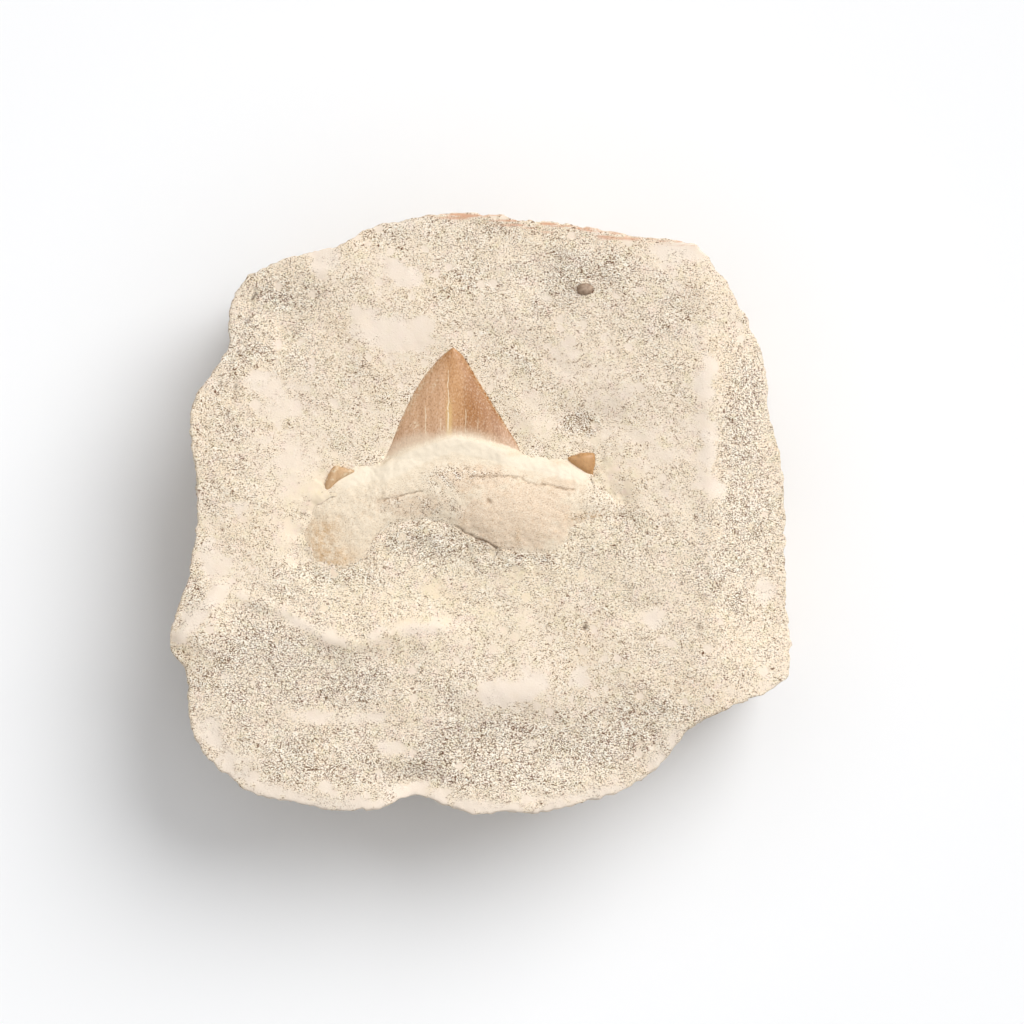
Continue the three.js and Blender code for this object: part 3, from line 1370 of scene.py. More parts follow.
ROOT = Loft(
    "root",
    Axis.X,
    (
        (-28.6, -6.2, -2.2, 24.4, 0.1, 1), (-27.2, -7.8, 1.4, 24.5, 0.5, 4),
        (-25.2, -9.6, 4.6, 24.6, 0.8, 6.4), (-22.4, -9.8, 7, 24.6, 1.1, 7.6),
        (-19.6, -8.8, 7.8, 24.6, 1.3, 8), (-17.8, -6.2, 8, 24.6, 1.4, 8),
        (-16.4, -3.6, 8.4, 24.6, 1.5, 8), (-14.4, -2.2, 9.6, 24.6, 1.6, 8),
        (-11.4, -1.6, 11, 24.6, 1.8, 8.2), (-8.2, -1.6, 12.2, 24.6, 1.95, 8.6),
        (-6, -2.4, 12.9, 24.6, 2, 8.8), (-4.2, -3.4, 13.2, 24.6, 2, 9),
        (-1, -4.8, 12.7, 24.6, 2, 9.2), (3, -6.5, 11.4, 24.6, 1.9, 9),
        (7, -7.1, 10.1, 24.6, 1.8, 8.4), (10.4, -7.1, 9.7, 24.6, 1.6, 8),
        (12.6, -6.2, 9.6, 24.6, 1.4, 7.6), (14.2, -3.4, 8.8, 24.6, 1.2, 7.2),
        (16.4, -1.8, 7.4, 24.6, 1, 6.6), (18.6, -1.2, 5.6, 24.6, 0.7, 5.6),
        (20.4, -0.7, 3.6, 24.5, 0.4, 4), (22, 0.4, 2.2, 24.5, 0.1, 1),
    ),
    steps_along=300,
    steps_above=150,
    steps_below=40,
    rounding=2.2,
)

CROWN = Loft(
    "crown",
    Axis.Y,
    (
        (4, -15.8, 7.8, 24.1, 0.6, 3.6), (8.6, -15.5, 7.5, 24.4, 1.6, 4.4),
        (11.4, -14.4, 5.6, 24.5, 1.8, 4.4), (15, -13, 3.4, 24.6, 1.8, 4.2),
        (18.4, -11.4, 1.3, 24.7, 1.7, 3.8), (21.4, -9.7, -0.5, 24.9, 1.4, 3.2),
        (23.8, -7.8, -2, 25.1, 1.1, 2.4), (25.6, -6.1, -3.2, 25.4, 0.7, 1.5),
        (26.5, -4.9, -4.3, 25.6, 0.3, 0.5),
    ),
    steps_along=110,
    steps_above=110,
    steps_below=36,
)

LEFT_CUSPLET = Loft(
    "left_cusplet",
    Axis.Y,
    (
        (3.4, -25.4, -24.2, 24, 0.3, 1.6), (4.4, -25.1, -23.8, 24.3, 0.7, 2.4),
        (5.4, -24.9, -22.9, 24.4, 0.9, 2.6), (6.2, -24.6, -21.6, 24.4, 1, 2.4),
        (7, -24.2, -20.3, 24.5, 0.9, 1.8), (7.4, -23.9, -21.4, 24.5, 0.7, 1.2),
        (7.8, -23.6, -23, 24.5, 0.4, 0.6),
    ),
    steps_along=44,
    steps_above=36,
    steps_below=16,
    rounding=0.8,
    nose=0.12,
)

RIGHT_CUSPLET = Loft(
    "right_cusplet",
    Axis.Y,
    (
        (6.4, 16.8, 17.7, 24.1, 0.4, 2), (7.1, 16, 17.8, 24.3, 0.8, 2.6),
        (8.2, 14.4, 18.1, 24.4, 1, 2.6), (9.1, 13.6, 18.1, 24.5, 1, 2.2),
        (9.6, 14.8, 18, 24.5, 0.8, 1.4), (9.9, 15.7, 17.8, 24.5, 0.5, 0.6),
    ),
    steps_along=40,
    steps_above=36,
    steps_below=16,
    rounding=0.7,
    nose=0.1,
)

LOFTS = (ROOT, CROWN, LEFT_CUSPLET, RIGHT_CUSPLET)


@dataclass
class SharkTooth:
    """The tooth: a two-lobed root, the crown and two side cusplets, grown as one."""

    # Where enamel gives way to bone under the crown.
    collar: tuple[tuple[float, float], ...] = (
        (-15.8, 8.3), (-15.4, 8.8), (-14.2, 9.5), (-11.8, 10.6), (-8.6, 11.4), (-6.6, 12.2),
        (-4.5, 12.7), (-1.4, 12.3), (1.4, 11.6), (4.2, 10.9), (7, 9.8), (8, 9.4),
    )
    ridges: tuple[Mark, ...] = trails(
        (1.9, 0.38, (-14.6, 8), (-11.4, 9.4), (-8, 10.5), (-4.5, 11.6), (-1.4, 11.3), (3, 10)),
        (1.6, 0.28, (3, 10), (8, 8.6), (12, 7.6)),
    ) + spots(
        (5, 0, 8, 4.6, 0.3),
    )
    # Cracks in the root, sunk and painted dark as the shade inside them.
    cracks: tuple[Trail, ...] = trails(
        (0.12, 0.25, (-16.6, 2.3), (-14, 2.7), (-12.4, 3), (-9.4, 3.8)),
        (0.14, 0.3, (-1.8, 6.1), (0.6, 6), (3.7, 6.2), (6, 5.8), (8.7, 5.1), (14.6, 3.9)),
        (0.2, 0.3, (-4.4, -1.8), (-2, -3), (0, -4), (3, -5.5)),
    )
    # Pits, sunk and painted dark as the shade inside them.
    pits: tuple[Spot, ...] = spots(
        (1.1, 2.2, 0.4, 0.4, 0.3), (15.4, 9.4, 0.3, 0.28, 0.3), (-0.6, 4.3, 0.25, 0.2, 0.2),
    )
    crusts: tuple[Spot, ...] = spots(
        (-6, 5.8, 3.2, 2.2, 0.9), (-0.6, 6.4, 4.6, 1.1, 0.8), (-12.8, 1.4, 4, 1.8, 0.7),
        (17.4, 6.2, 1.8, 1, 0.7), (-22.5, -8.2, 5, 0.8, 0.5), (-6.2, 0.4, 3.4, 2.2, 0.8),
        (16.6, -0.4, 3.6, 0.8, 0.8), (5.8, -3.4, 0.7, 1.4, 0.5),
    )
    # The milky band across the root: paler bone, and painted light where its crest faces up.
    band: Trail = Trail(
        (
            (-21.5, 5.6), (-18, 6.6), (-15, 6.8), (-12, 8.4), (-8, 10.2), (-4.5, 11.2), (0, 10.4),
            (6, 8.6), (9, 8.2), (12, 7), (15.4, 6.2),
        ),
        1.7,
    )
    pinks: tuple[Spot, ...] = spots(
        (5.4, -0.2, 8.6, 5.2), (-0.5, 6, 6, 2), (-11, 1.6, 5.4, 1.8, 0.7),
        (12.6, 4.6, 3.6, 1.4, 0.8),
    )
    # Short pale scratches on the crown.
    scratches: tuple[Trail, ...] = trails(
        (0.2, 1, (-7.9, 20.3), (-7.2, 21.4)),
        (0.2, 1, (-7.5, 20.7), (-7.1, 21)),
        (0.18, 1, (-11.3, 14.1), (-10.5, 15)),
        (0.16, 1, (-10.9, 13.7), (-10.1, 14.5)),
        (0.16, 1, (-6.4, 13.2), (-6.1, 14.4)),
        (0.18, 1, (-5.5, 13.3), (-4.7, 13.9)),
    )
    ochres: tuple[Spot, ...] = spots(
        (-25, -2.6, 2.8, 2.2, 1.1), (-23.4, -6.8, 4, 1.8, 1.1), (-27, -5.8, 1.6, 1.8, 0.9),
        (17, -0.4, 3.6, 0.8, 1), (5.8, -3.4, 0.35, 1.3, 0.9), (5, 9.8, 1.6, 0.5, 0.4),
        (12, 8.2, 1.2, 0.5, 0.4),
    )
    cutter_detail: float = 0.4
    # The join of crown and root: distance above the collar, places along X, and least height.
    join_rows: tuple[Span, Span] = (Span(-6.0, -4.0), Span(1.6, 0.6))
    join_columns: tuple[Span, Span] = (Span(-18.0, -16.0), Span(10.0, 8.0))
    join_height: float = 24.7
    join_passes: int = 220
    collar_ends: tuple[float, float] = (-16.4, 8.4)
    # Where the enamel layer is low enough for the bone's relief.
    bony: Span = Span(0.5, 0.42)
    waves: Swirl = Swirl(3.0, 4, 7.0, 0.12)
    pimples: Swirl = Swirl(0.9, 4, 8.0, 0.08)
    crust_level: float = 0.6
    crust_frays: Swirl = Swirl(1.4, 4, 9.0, 0.9)
    frays: Swirl = Swirl(2.0, 3, 10.0, 0.4)
    band_waver: float = 0.6
    band_strength: float = 1.3
    band_clean: float = 0.9
    crack_level: float = 0.6
    crack_gaps: Swirl = Swirl(0.7, 3, 11.0, 1.2)
    crack_strength: float = 0.7
    pit_strength: float = 1.8
    scratch_strength: float = 1.4
    # Worn enamel: depth inside the crown's outline, and places along Y and X.
    tip_edge: Span = Span(0.5, 0.05)
    tip_rows: Span = Span(13.0, 21.0)
    tip_left: Span = Span(-3.6, -5.6, 0.65)
    tip_least: float = 0.35
    worn_edge: Span = Span(0.12, 0.02)
    crown_rows: Span = Span(13.0, 13.6)
    # Sand on the root's low edges: depth inside its outline, and places along Y and X.
    shallow_edge: Span = Span(0.5, 0.1)
    shallow_rows: Span = Span(5.0, 2.0)
    shallow_end: Span = Span(15.0, 19.0)
    sand_least: float = 0.16
    sand_edge: float = 0.4

    def top(self, points: Array) -> Array:
        """Height of the tooth's upper side, or far below where the tooth isn't."""
        return np.max([loft.top(points) for loft in LOFTS], axis=0)

    def rim(self) -> Array:
        """Points along the tooth's outline, with its edge's height there.

        Returns:
            Places in mm, one row each.
        """
        kept = []
        for loft in LOFTS:
            rim = loft.rim()
            others = [other.top(rim) for other in LOFTS if other is not loft]
            kept.append(rim[np.max(others, axis=0) < 0.0])
        return np.vstack(kept)

    def crustiness(self, points: Array) -> Array:
        """How much sand sticks to the root at each point, from 0 to 1."""
        ragged = self.crust_level + self.crust_frays.at(points)
        return np.clip(gathered(self.crusts, points) * ragged, 0.0, 1.0)

    def soften(self, piece: bpy.types.Object) -> None:
        """Smooths the join of crown and root, which grew as one.

        Args:
            piece: The joined tooth.
        """
        points = places_of(piece)
        collar = np.array(self.collar)
        above = points[:, 1] - np.interp(points[:, 0], collar[:, 0], collar[:, 1])
        below, over = (span.of(above) for span in self.join_rows)
        left, right = (span.of(points[:, 0]) for span in self.join_columns)
        near = below * over * (points[:, 2] > self.join_height) * (left * right)
        ends = np.zeros(len(piece.data.edges) * 2, np.int32)
        piece.data.edges.foreach_get("vertices", ends)
        first, second = ends.reshape(-1, 2).T
        count = np.bincount(ends, minlength=len(points)).clip(1)
        height = points[:, 2].copy()
        for _ in range(self.join_passes):
            total = np.bincount(first, height[second], len(points))
            total += np.bincount(second, height[first], len(points))
            height += near * (total / count - height)
        points[:, 2] = height
        move_points(piece, points)

    def weather(self, piece: bpy.types.Object) -> None:
        """Works the root's ridges, cracks and pits into the mesh.

        Args:
            piece: The joined tooth.
        """
        points, ways = places_of(piece), normals_of(piece)
        up = UPWARD.of(ways[:, 2])
        bony = self.bony.of(self.enamelled(piece))
        relief = gathered(self.ridges, points) - gathered(self.cracks, wandered(points))
        relief -= gathered(self.pits, points)
        relief += self.waves.at(points) + self.pimples.at(points)
        moved = points.copy()
        moved[:, 2] += bony * relief * up
        low, high = (np.array(corner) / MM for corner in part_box("shark_tooth"))
        move_points(piece, np.clip(moved, low, high))

    def enamelled(self, piece: bpy.types.Object) -> Array:
        """Above 0.5 on enamel and below it on bone, rising evenly across the collar.

        Args:
            piece: The joined tooth.

        Returns:
            One value for each point, from 0 to 1.
        """
        points = places_of(piece)
        collar = np.array(self.collar)
        above = points[:, 1] - np.interp(points[:, 0], collar[:, 0], collar[:, 1])
        enamel = np.clip(MIDDLE + above / COLLAR_RUN, 0.0, 1.0)
        left, right = self.collar_ends
        enamel[(points[:, 0] < left) | (points[:, 0] > right)] = 0.0
        which = np.zeros(len(piece.data.polygons), np.int32)
        piece.data.polygons.foreach_get("material_index", which)
        for face, index in zip(piece.data.polygons, which):
            if index == ENAMEL_INDEX:
                enamel[list(face.vertices)] = 1.0
        return enamel

    def paint(self, piece: bpy.types.Object) -> None:
        """Stores the painted layers that the finish reads.

        Args:
            piece: The finished mesh of the tooth.
        """
        points = places_of(piece)
        x, y = points[:, 0], points[:, 1]
        ragged = self.frays.at(points)
        pink = strongest(patch.patch(points, ragged) for patch in self.pinks)
        waver = self.band_waver * ragged[:, None]
        band = np.clip(self.band.mask(points + waver) * self.band_strength, 0.0, 1.0)
        wavering = wandered(points)
        # Cracks and pits, painted dark as the shade inside them.
        dark = strongest(crack.mask(wavering) / crack.weight for crack in self.cracks)
        dark *= smooth(self.crack_level + self.crack_gaps.at(points))
        crown, root = CROWN.depth(points), ROOT.depth(points)
        tip = self.tip_edge.of(crown) * self.tip_rows.of(y)
        worn = np.maximum(tip * (self.tip_least + self.tip_left.of(x)), self.worn_edge.of(crown))
        worn = np.maximum(worn, gathered(self.scratches, points) * self.scratch_strength)
        high = self.crown_rows.of(y)
        shallow = self.shallow_edge.of(root) * self.shallow_rows.of(y)
        shallow = np.maximum(shallow, self.shallow_end.of(x))
        sandy = np.maximum(self.sand_least + self.sand_edge * shallow, self.crustiness(points))
        pitted = gathered(self.pits, points) * self.pit_strength
        layers = {
            Layer.ENAMEL: self.enamelled(piece),
            Layer.PALE: np.where(high > 0, worn * high, band),
            Layer.PREPARED: pink,
            Layer.OCHRE: gathered(self.ochres, points),
            Layer.CRUST: sandy * (1.0 - self.band_clean * band),
            Layer.CRACK_SHADE: self.crack_strength * dark + pitted,
        }
        for layer, values in layers.items():
            paint_layer(piece, layer, values)

    def joined(self, detail: float, finishes: Sequence[bpy.types.Material]) -> bpy.types.Object:
        """The parts grown together.

        Args:
            detail: Share of the full number of steps.
            finishes: Materials that all the parts share.

        Returns:
            One closed mesh.
        """
        root, crown, *cusplets = [loft.build(detail) for loft in LOFTS]
        for part in (root, crown, *cusplets):
            for finish in finishes:
                part.data.materials.append(finish)
        for part in cusplets:
            faces = part.data.polygons
            faces.foreach_set("material_index", [ENAMEL_INDEX] * len(faces))
        for part in (crown, *cusplets):
            boolean(root, part, "UNION")
        return root

    def cutter(self) -> bpy.types.Object:
        """A coarser copy of the tooth that cuts its pocket in the stone."""
        return self.joined(self.cutter_detail, ())

    def build(self) -> bpy.types.Object:
        """Makes the tooth.

        Returns:
            The finished piece.
        """
        skin = ToothSkin().make()
        piece = self.joined(1.0, (skin, skin))
        piece.name = "tooth"
        self.soften(piece)
        self.weather(piece)
        self.paint(piece)
        piece.data.materials.pop(index=1)
        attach(piece, "root")
        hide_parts("shark_tooth")
        return piece


# ---------------------------------------------------------------- the stone


@dataclass
class StoneMatrix:
    """The block of sandy stone: broken upper face, weathered sides and a flat base."""

    tooth: SharkTooth

    # The widest outline, anticlockwise from its rightmost point.
    outline: tuple[tuple[float, float], ...] = (
        (49.6, -23), (49.1, -17), (48.8, -10.4), (48.6, -2.6), (48.3, 2.4), (48.5, 7.2),
        (48, 10.4), (46.1, 16), (45.8, 19.5), (45.4, 23.8), (44.5, 27.7), (42.4, 32), (40.5, 35.5),
        (37.9, 39.2), (33.6, 43.4), (22.6, 45), (9.4, 47), (0, 48.2), (-10.7, 47.8), (-17.6, 46.4),
        (-23.8, 43.4), (-35.5, 39.5), (-38.4, 37.8), (-40.4, 31.5), (-40.4, 27), (-45, 20.2),
        (-46.6, 15), (-46.1, 10.1), (-45.6, 1), (-46.6, -6.5), (-49.3, -17.5), (-49.7, -21.2),
        (-47.3, -24.4), (-46.7, -31), (-45.6, -36), (-40.8, -41.4), (-35.2, -44.8), (-25.4, -46.8),
        (-16.3, -46.7), (-11.4, -45.1), (-4.5, -46.9), (4, -48.1), (8.5, -48.1), (19.2, -45.3),
        (27.4, -41.1), (31.7, -35.8), (38.9, -31.2), (48.2, -26.8),
    )
    top: float = 26.0
    lift: float = 0.6
    # From the upper face's edge to the base: share of the outline, share of the edge's height.
    side: tuple[tuple[float, float], ...] = (
        (0.994, 1), (0.9975, 0.997), (0.9995, 0.985), (1, 0.965), (0.9985, 0.9), (0.992, 0.62),
        (0.982, 0.36), (0.968, 0.1), (0.945, 0),
    )
    hollow: Spot = Spot(-3.5, 2.5, 38.0, 33.0, 1.2)
    steps_round: int = 720
    steps_down: int = 32
    face_step: float = 0.46
    fine_step: float = 0.27
    base_step: float = 1.5
    # Where the face is worked finely, round the tooth.
    fine_zone: Spot = Spot(-3.5, 8.0, 28.5, 20.5)

    swells: tuple[Mark, ...] = spots(
        (-20, -19.5, 15, 3.6, 0.8), (-9, -18.5, 8, 3.2, 0.7), (-30, 31, 8, 6, -1),
        (8, -38, 26, 7, -1.3), (-44, -19, 4, 6, 1.4), (16, 15, 6, 3, -0.9), (5, -28, 9, 4, 0.9),
        (-11.4, -43, 5, 3, -1.6), (24, 38, 10, 6, 0.8),
    )
    # Where sand lies higher against the tooth.
    heaps: tuple[Spot, ...] = spots(
        (-9, -2.6, 4, 2.4, 0.2), (-1, -6, 4, 1.5, 0.1), (-14, 0.6, 3, 2, 0.15),
        (8, -7.4, 6, 1.6, 0.12), (-22, -8.4, 5, 1.6, 0.1),
    )
    # How far the outline is broken back, in mm.
    bites: tuple[Spot, ...] = spots(
        (9, -47.5, 12, 5, 0.7), (-5, -46, 5, 4, 0.3), (36, -33, 5, 5, 0.4), (-35, 38, 12, 6, 0.3),
        (-23, 44, 4, 4, 0.8), (-14, 47, 6, 4, 0.5), (27, 44.4, 6, 4, 0.5), (40, 34, 5, 6, 0.5),
        (-47, -11, 3, 5, 0.8), (-31, -46, 4, 4, 0.5), (4, -48, 3, 3, 0.4), (47, -27, 3, 3, 0.5),
        (-1, -47.5, 3, 3, -0.6),
    )
    ridges: tuple[Mark, ...] = trails(
        (1.8, 0.25, (35, 36), (35.6, 20), (36.4, 4), (37.3, -16.6)),
        (
            1.2, 0.4, (-38, -13), (-30.7, -15.5), (-24.3, -20), (-18.7, -20.6), (-12.3, -17.6),
            (-6.7, -17.4),
        ),
        (1.4, 0.6, (-48, -19.2), (-44.6, -15.7), (-41.8, -11.8)),
    )
    grooves: tuple[Trail, ...] = trails(
        (0.7, 0.25, (14.9, -21.4), (18.9, -17.4), (27.7, -14.2)),
        (
            0.3, 0.3, (-36.3, 36.2), (-36.5, 32.9), (-37.4, 31.4), (-38.1, 29.3), (-38.4, 23.5),
            (-40, 18),
        ),
        (0.35, 0.5, (-4.6, -1.8), (-2, -3.2), (0.2, -4.3), (2.9, -5.7)),
    )
    # Cracks, painted dark as the shade inside them.
    cracks: tuple[Trail, ...] = trails(
        (0.16, 0.9, (-36.2, 36.2), (-36.5, 33.2)),
        (0.14, 0.5, (-36.5, 33.2), (-37.4, 31.4), (-38.1, 29.3), (-38.4, 26)),
        (0.14, 0.45, (-39.2, 21.5), (-39.5, 18.5), (-40.6, 16)),
        (0.22, 0.75, (-4.3, -1.9), (-2, -3.1), (0, -4.1), (3, -5.6)),
        (0.2, 0.3, (3, -5.8), (6, -6.6), (9, -6.8), (12, -6.6)),
        (0.25, 0.25, (16.8, -20.9), (15, -21.3), (13.6, -20.9)),
    )
    # Small holes, sunk into the face and painted dark as the shade inside them.
    holes: tuple[Spot, ...] = spots(
        (16.4, -17.9, 0.32, 0.32, 1), (34.4, -17.9, 0.3, 0.26, 0.6), (-41.5, -2.3, 0.26, 0.2, 0.6),
        (-18.5, -26.8, 0.25, 0.22, 0.5), (-13.5, -26, 0.22, 0.22, 0.4),
        (5.4, -18.4, 0.16, 0.16, 0.3),
    )
    # Where sand grains show strongly, and where fine cement hides them.
    grainy: tuple[Spot, ...] = spots(
        (-34, -19, 7, 4, 0.5), (-30, -27, 12, 6, 0.35), (-19, -27, 6, 4, 0.3),
        (-42, -25, 5, 6, 0.25), (-4, -27, 4, 3, 0.35), (-5, -37, 8, 4.5, 0.5), (4, -35, 6, 4, 0.5),
        (16, -36, 10, 4, 0.45), (26, -32, 7, 4, 0.5), (22, -39, 5, 3, 0.3),
        (4, -41.5, 12, 3, 0.45), (-20, -41, 12, 4, 0.3), (-32, -39, 6, 4, 0.4),
        (-28, -36, 8, 3, 0.15), (40, 0, 3, 6, 0.5), (45, -4, 3, 9, 0.4), (37.5, -9, 3, 3, 0.35),
        (42, 15, 3.6, 8, 0.55), (41.5, 23, 3, 3, 0.3), (41, -14, 3, 3, 0.3), (29, 29, 6, 5, 0.15),
        (18, 39, 9, 4, 0.35), (7, 23, 3, 4, 0.28), (15, 15, 4, 2, 0.25), (26, 13, 6, 4, -0.05),
        (32, 33, 3, 4, 0.2), (12, 37, 5, 4, 0.2), (-3, 37, 5, 3, 0.35), (-16, 44.5, 5, 2, 0.3),
        (-8, 47, 3, 1.5, 0.2), (4, 46, 6, 2, 0.2), (-32, 36, 7, 4, 0.4), (-37, 28, 4, 4, 0.4),
        (-30, 24, 6, 4, 0.2), (-40, 18, 4, 8, 0.22), (-43, 10, 3, 8, 0.08),
        (-6, -4.4, 5.5, 3, 0.5), (-14, 1.5, 3, 1.5, 0.3), (-14, -4, 5, 3, 0.3),
        (14, -1, 3, 2, 0.2), (24, -3, 4, 4, 0.25), (8, -7.4, 8, 1.6, 0.45), (0, -12.5, 2, 1, 0.3),
        (16.4, -17.9, 1.5, 1.2, 0.3), (-46, -13, 2, 5, 0.5), (-24, -10, 9, 2.4, 0.35),
    )
    cemented: tuple[Mark, ...] = spots(
        (-31, 15, 5, 6, 0.35), (-28, 6, 4, 4, 0.4), (-27, 0, 4, 8, 0.25), (-13, 9, 4, 3, 0.2),
        (6, 18, 3, 5, 0.25), (-16, 14, 3, 6, 0.15), (-32, -3, 5, 4, 0.16), (-35, 20, 4, 3, 0.45),
        (-27, 20, 3, 2, 0.2), (-25.5, 40.5, 2.5, 3, 0.6), (-13, 38, 4, 2.2, 0.5),
        (-15, 28.5, 6, 3, 0.4), (-18, 31, 2, 3, 0.4), (-10, 29, 3, 2, 0.4), (35.8, 16, 2, 8, 0.45),
        (31, 41.5, 4, 1.8, 0.6), (34.5, 34, 2, 5, 0.25), (45.5, 12, 2.5, 3, 0.2),
        (36.5, 4, 1.8, 2, 0.4), (10, 13.5, 3, 2.5, 0.4), (24, 6, 7, 3.5, 0.4),
        (3, -28.5, 4.5, 2.2, 0.55), (8.5, -27, 2.4, 2, 0.5), (24, 14, 9, 5, 0.2),
        (17, 24, 8, 6, 0.2), (27.3, -16.6, 1.3, 1.5, 0.6), (16, -26, 2, 1.6, 0.5),
        (45, -12, 1.8, 1.8, 0.6), (6, -9.5, 6, 1.5, 0.4), (-8, -12, 5, 1.5, 0.3),
        (-42, -7, 2.5, 2, 0.6), (-37.5, -9, 4, 3, 0.2), (-24, -32, 9, 1.6, 0.45),
        (-14, -37, 2.2, 1.2, 0.6), (-38, -38.5, 3, 2, 0.3), (-11, -43.6, 3.2, 1.4, 0.7),
        (-25, -43.5, 1.4, 1, 0.5), (5, -18, 9, 5, 0.12),
    ) + trails(
        (1.4, 0.35, (-38, -13), (-27, -18), (-20, -20.5), (-14, -18.5), (-6, -17.5)),
        (1.5, 0.5, (-48, -19), (-44.6, -15.7), (-41.8, -11.8)),
    )
    # The smooth, pale edge along the lower side.
    border: Trail = Trail(
        (
            (-43.4, -34), (-41, -39.4), (-36, -43.2), (-30, -45.4), (-24, -46.4), (-17, -46.3),
            (-11.4, -44.6), (-4.5, -46.4), (4, -47.6), (9, -47.6), (19, -44.8), (27, -40.6),
            (31.2, -35.6),
        ),
        2.0,
        1.0,
    )
    pale_patches: tuple[Spot, ...] = spots(
        (3, -28.6, 4, 2.2), (8.5, -27, 2.2, 1.6), (15.7, -26.2, 1.6, 1.3),
        (-40.6, -25.6, 1.1, 0.8), (27.4, -16.6, 1.1, 1.3), (44.8, -11.8, 1.6, 1.6),
        (38.1, 4.2, 1.4, 1.3), (-15, -37, 1.6, 0.9), (-24.8, -43.4, 1.1, 0.8),
        (7.7, -36.2, 0.8, 0.7), (11.7, -39.8, 1.2, 0.8), (-11.5, -43.8, 3.2, 1.2),
        (-25.1, 41, 1.8, 2.2), (-15.5, 29, 5, 2.6, 0.7), (-12, 38.6, 2.4, 1.6),
        (-35.8, 31.4, 1.3, 1.4), (-35, 21.8, 2.4, 1.6), (10.1, 35, 1.3, 0.8), (30.9, 41.8, 3, 1.5),
        (35.6, 22, 1.4, 3), (36.2, 11, 1.3, 3), (-43.4, -6, 1.6, 2.4),
        (-45.4, -16.4, 1.6, 3, 1, -0.6), (-27, -18, 5, 0.9, 0.8, -0.45),
        (-12, -18.2, 6, 1, 0.8, 0.1), (-22, -32.4, 6, 1, 0.6), (-38, -38.4, 2.4, 1.2, 0.4),
        (-39, 1.6, 1.4, 0.9, 0.7), (-43.2, -32.8, 0.9, 0.7), (-12, 46.4, 1.3, 0.9),
        (30.6, 36, 1.2, 0.8, 0.7), (33.8, 28.4, 0.9, 1.8, 0.6),
    )
    stains: tuple[Spot, ...] = spots(
        (15.4, 14.9, 2.4, 1.2, 0.75), (17.4, 13.2, 1.2, 0.9, 0.65), (12.6, 41.8, 2.8, 1.2, 0.35),
        (18.6, 39, 3, 1.8, 0.2), (14.9, 36.2, 0.9, 0.7, 0.7), (-36.6, -14.4, 1.8, 0.9, 0.35),
        (24.8, 21.8, 0.8, 0.4, 0.4), (28.6, 4.6, 0.8, 0.4, 0.35), (-38.2, -21, 1.4, 0.8, 0.3),
        (-0.4, -4.2, 3, 1, 0.6, -0.5), (46.8, 13.6, 0.6, 1.2, 0.35),
    )
    # Lower edge of the reddish strip along the upper rim.
    rust_edge: tuple[tuple[float, float], ...] = (
        (-14, 47.6), (0, 46.2), (10, 44.8), (22, 43.4), (34, 42.4), (38, 41),
    )
    # The broad waves of the face: length and start along X and along Y, then the slanting one.
    waves: tuple[tuple[float, float], tuple[float, float]] = ((11.0, 0.7), (13.0, -0.4))
    wave_share: float = 0.5
    slanting_wave: float = 7.3
    slanting_share: float = 0.25
    hollow_steepness: float = 1.8
    # How far the face drops to its right-hand edge, and how that changes along Y.
    slant: Span = Span(35.5, 49.0, 3.6)
    slant_rows: Span = Span(-30.0, -16.0, 0.65)
    slant_least: float = 0.35
    # The face's relief. Pairs are heights on calm stone, and what grainy stone adds.
    rolling: Swirl = Swirl(9.0, 3, 1.0, 0.3)
    bumps: Swirl = Swirl(2.6, 5, 2.0)
    bump_heights: tuple[float, float] = (0.06, 0.08)
    clumps: Flakes = Flakes(0.9, 1.0)
    clump_heights: tuple[float, float] = (0.02, 0.1)
    # Sand against the tooth. Pairs are heights beside the crown, and what the root adds.
    bank_zone: tuple[tuple[float, float], tuple[float, float]] = ((-33, -13), (27, 32))
    rim_stride: int = 2
    root_rows: Span = Span(11.0, 8.0)
    root_slope: float = 0.2
    bank_heights: tuple[float, float] = (0.02, 0.3)
    bank_swirls: tuple[float, float] = (0.05, 0.3)
    drifts: Swirl = Swirl(2.4, 5, 13.0)
    bank_reach: Span = Span(3.9, 0.3)
    fray_level: float = 0.9
    frays: Swirl = Swirl(3.2, 4, 24.0, 1.1)
    # The maker's cleaning. Its weight is how far out it reaches.
    cleaned: Spot = Spot(-3.5, -2.0, 36.0, 22.0, 1.15)
    cleaned_frays: Swirl = Swirl(9.0, 4, 5.0, 0.25)
    cleaned_steepness: float = 1.6
    # How the mesh is cut: gaps at the rim and the fine zone's edge, and rings down the walls.
    rim_clearance: float = 0.6
    zone_seam: float = 0.985
    side_reach: float = 48.0
    profile_steps: int = 1000
    profile_bunching: float = 1.8
    inset: float = 0.01
    # Broken walls: how far facets are drawn out upright, and where walls start, as a share
    # of the outline's reach. Ranges and drops are in mm of depth.
    upright: float = 0.4
    broad_zone: Span = Span(0.78, 0.97)
    sharp_zone: Span = Span(0.94, 0.97)
    flakes: Flakes = Flakes(7.0, 2.0, 0.8)
    breaks: Swirl = Swirl(6.0, 4, 3.0, 0.7)
    chip_drop: float = 0.65
    chip_range: tuple[float, float] = (-0.1, 1.6)
    # What is broken out of the walls below the rim, over levels from the base to the face.
    caves: Swirl = Swirl(6.0, 5, 20.0, 1.2)
    slabs: Flakes = Flakes(10.0, 21.0, 3.2)
    slab_drop: float = 1.2
    slab_range: tuple[float, float] = (0.0, 2.4)
    knobs: Flakes = Flakes(3.0, 22.0, 0.5)
    under_levels: Span = Span(0.94, 0.64)
    nicks: Swirl = Swirl(1.4, 4, 4.0, 0.3)
    nick_flakes: Flakes = Flakes(1.6, 3.0, 0.3)
    nick_drop: float = 0.1
    nick_range: tuple[float, float] = (-0.1, 0.6)
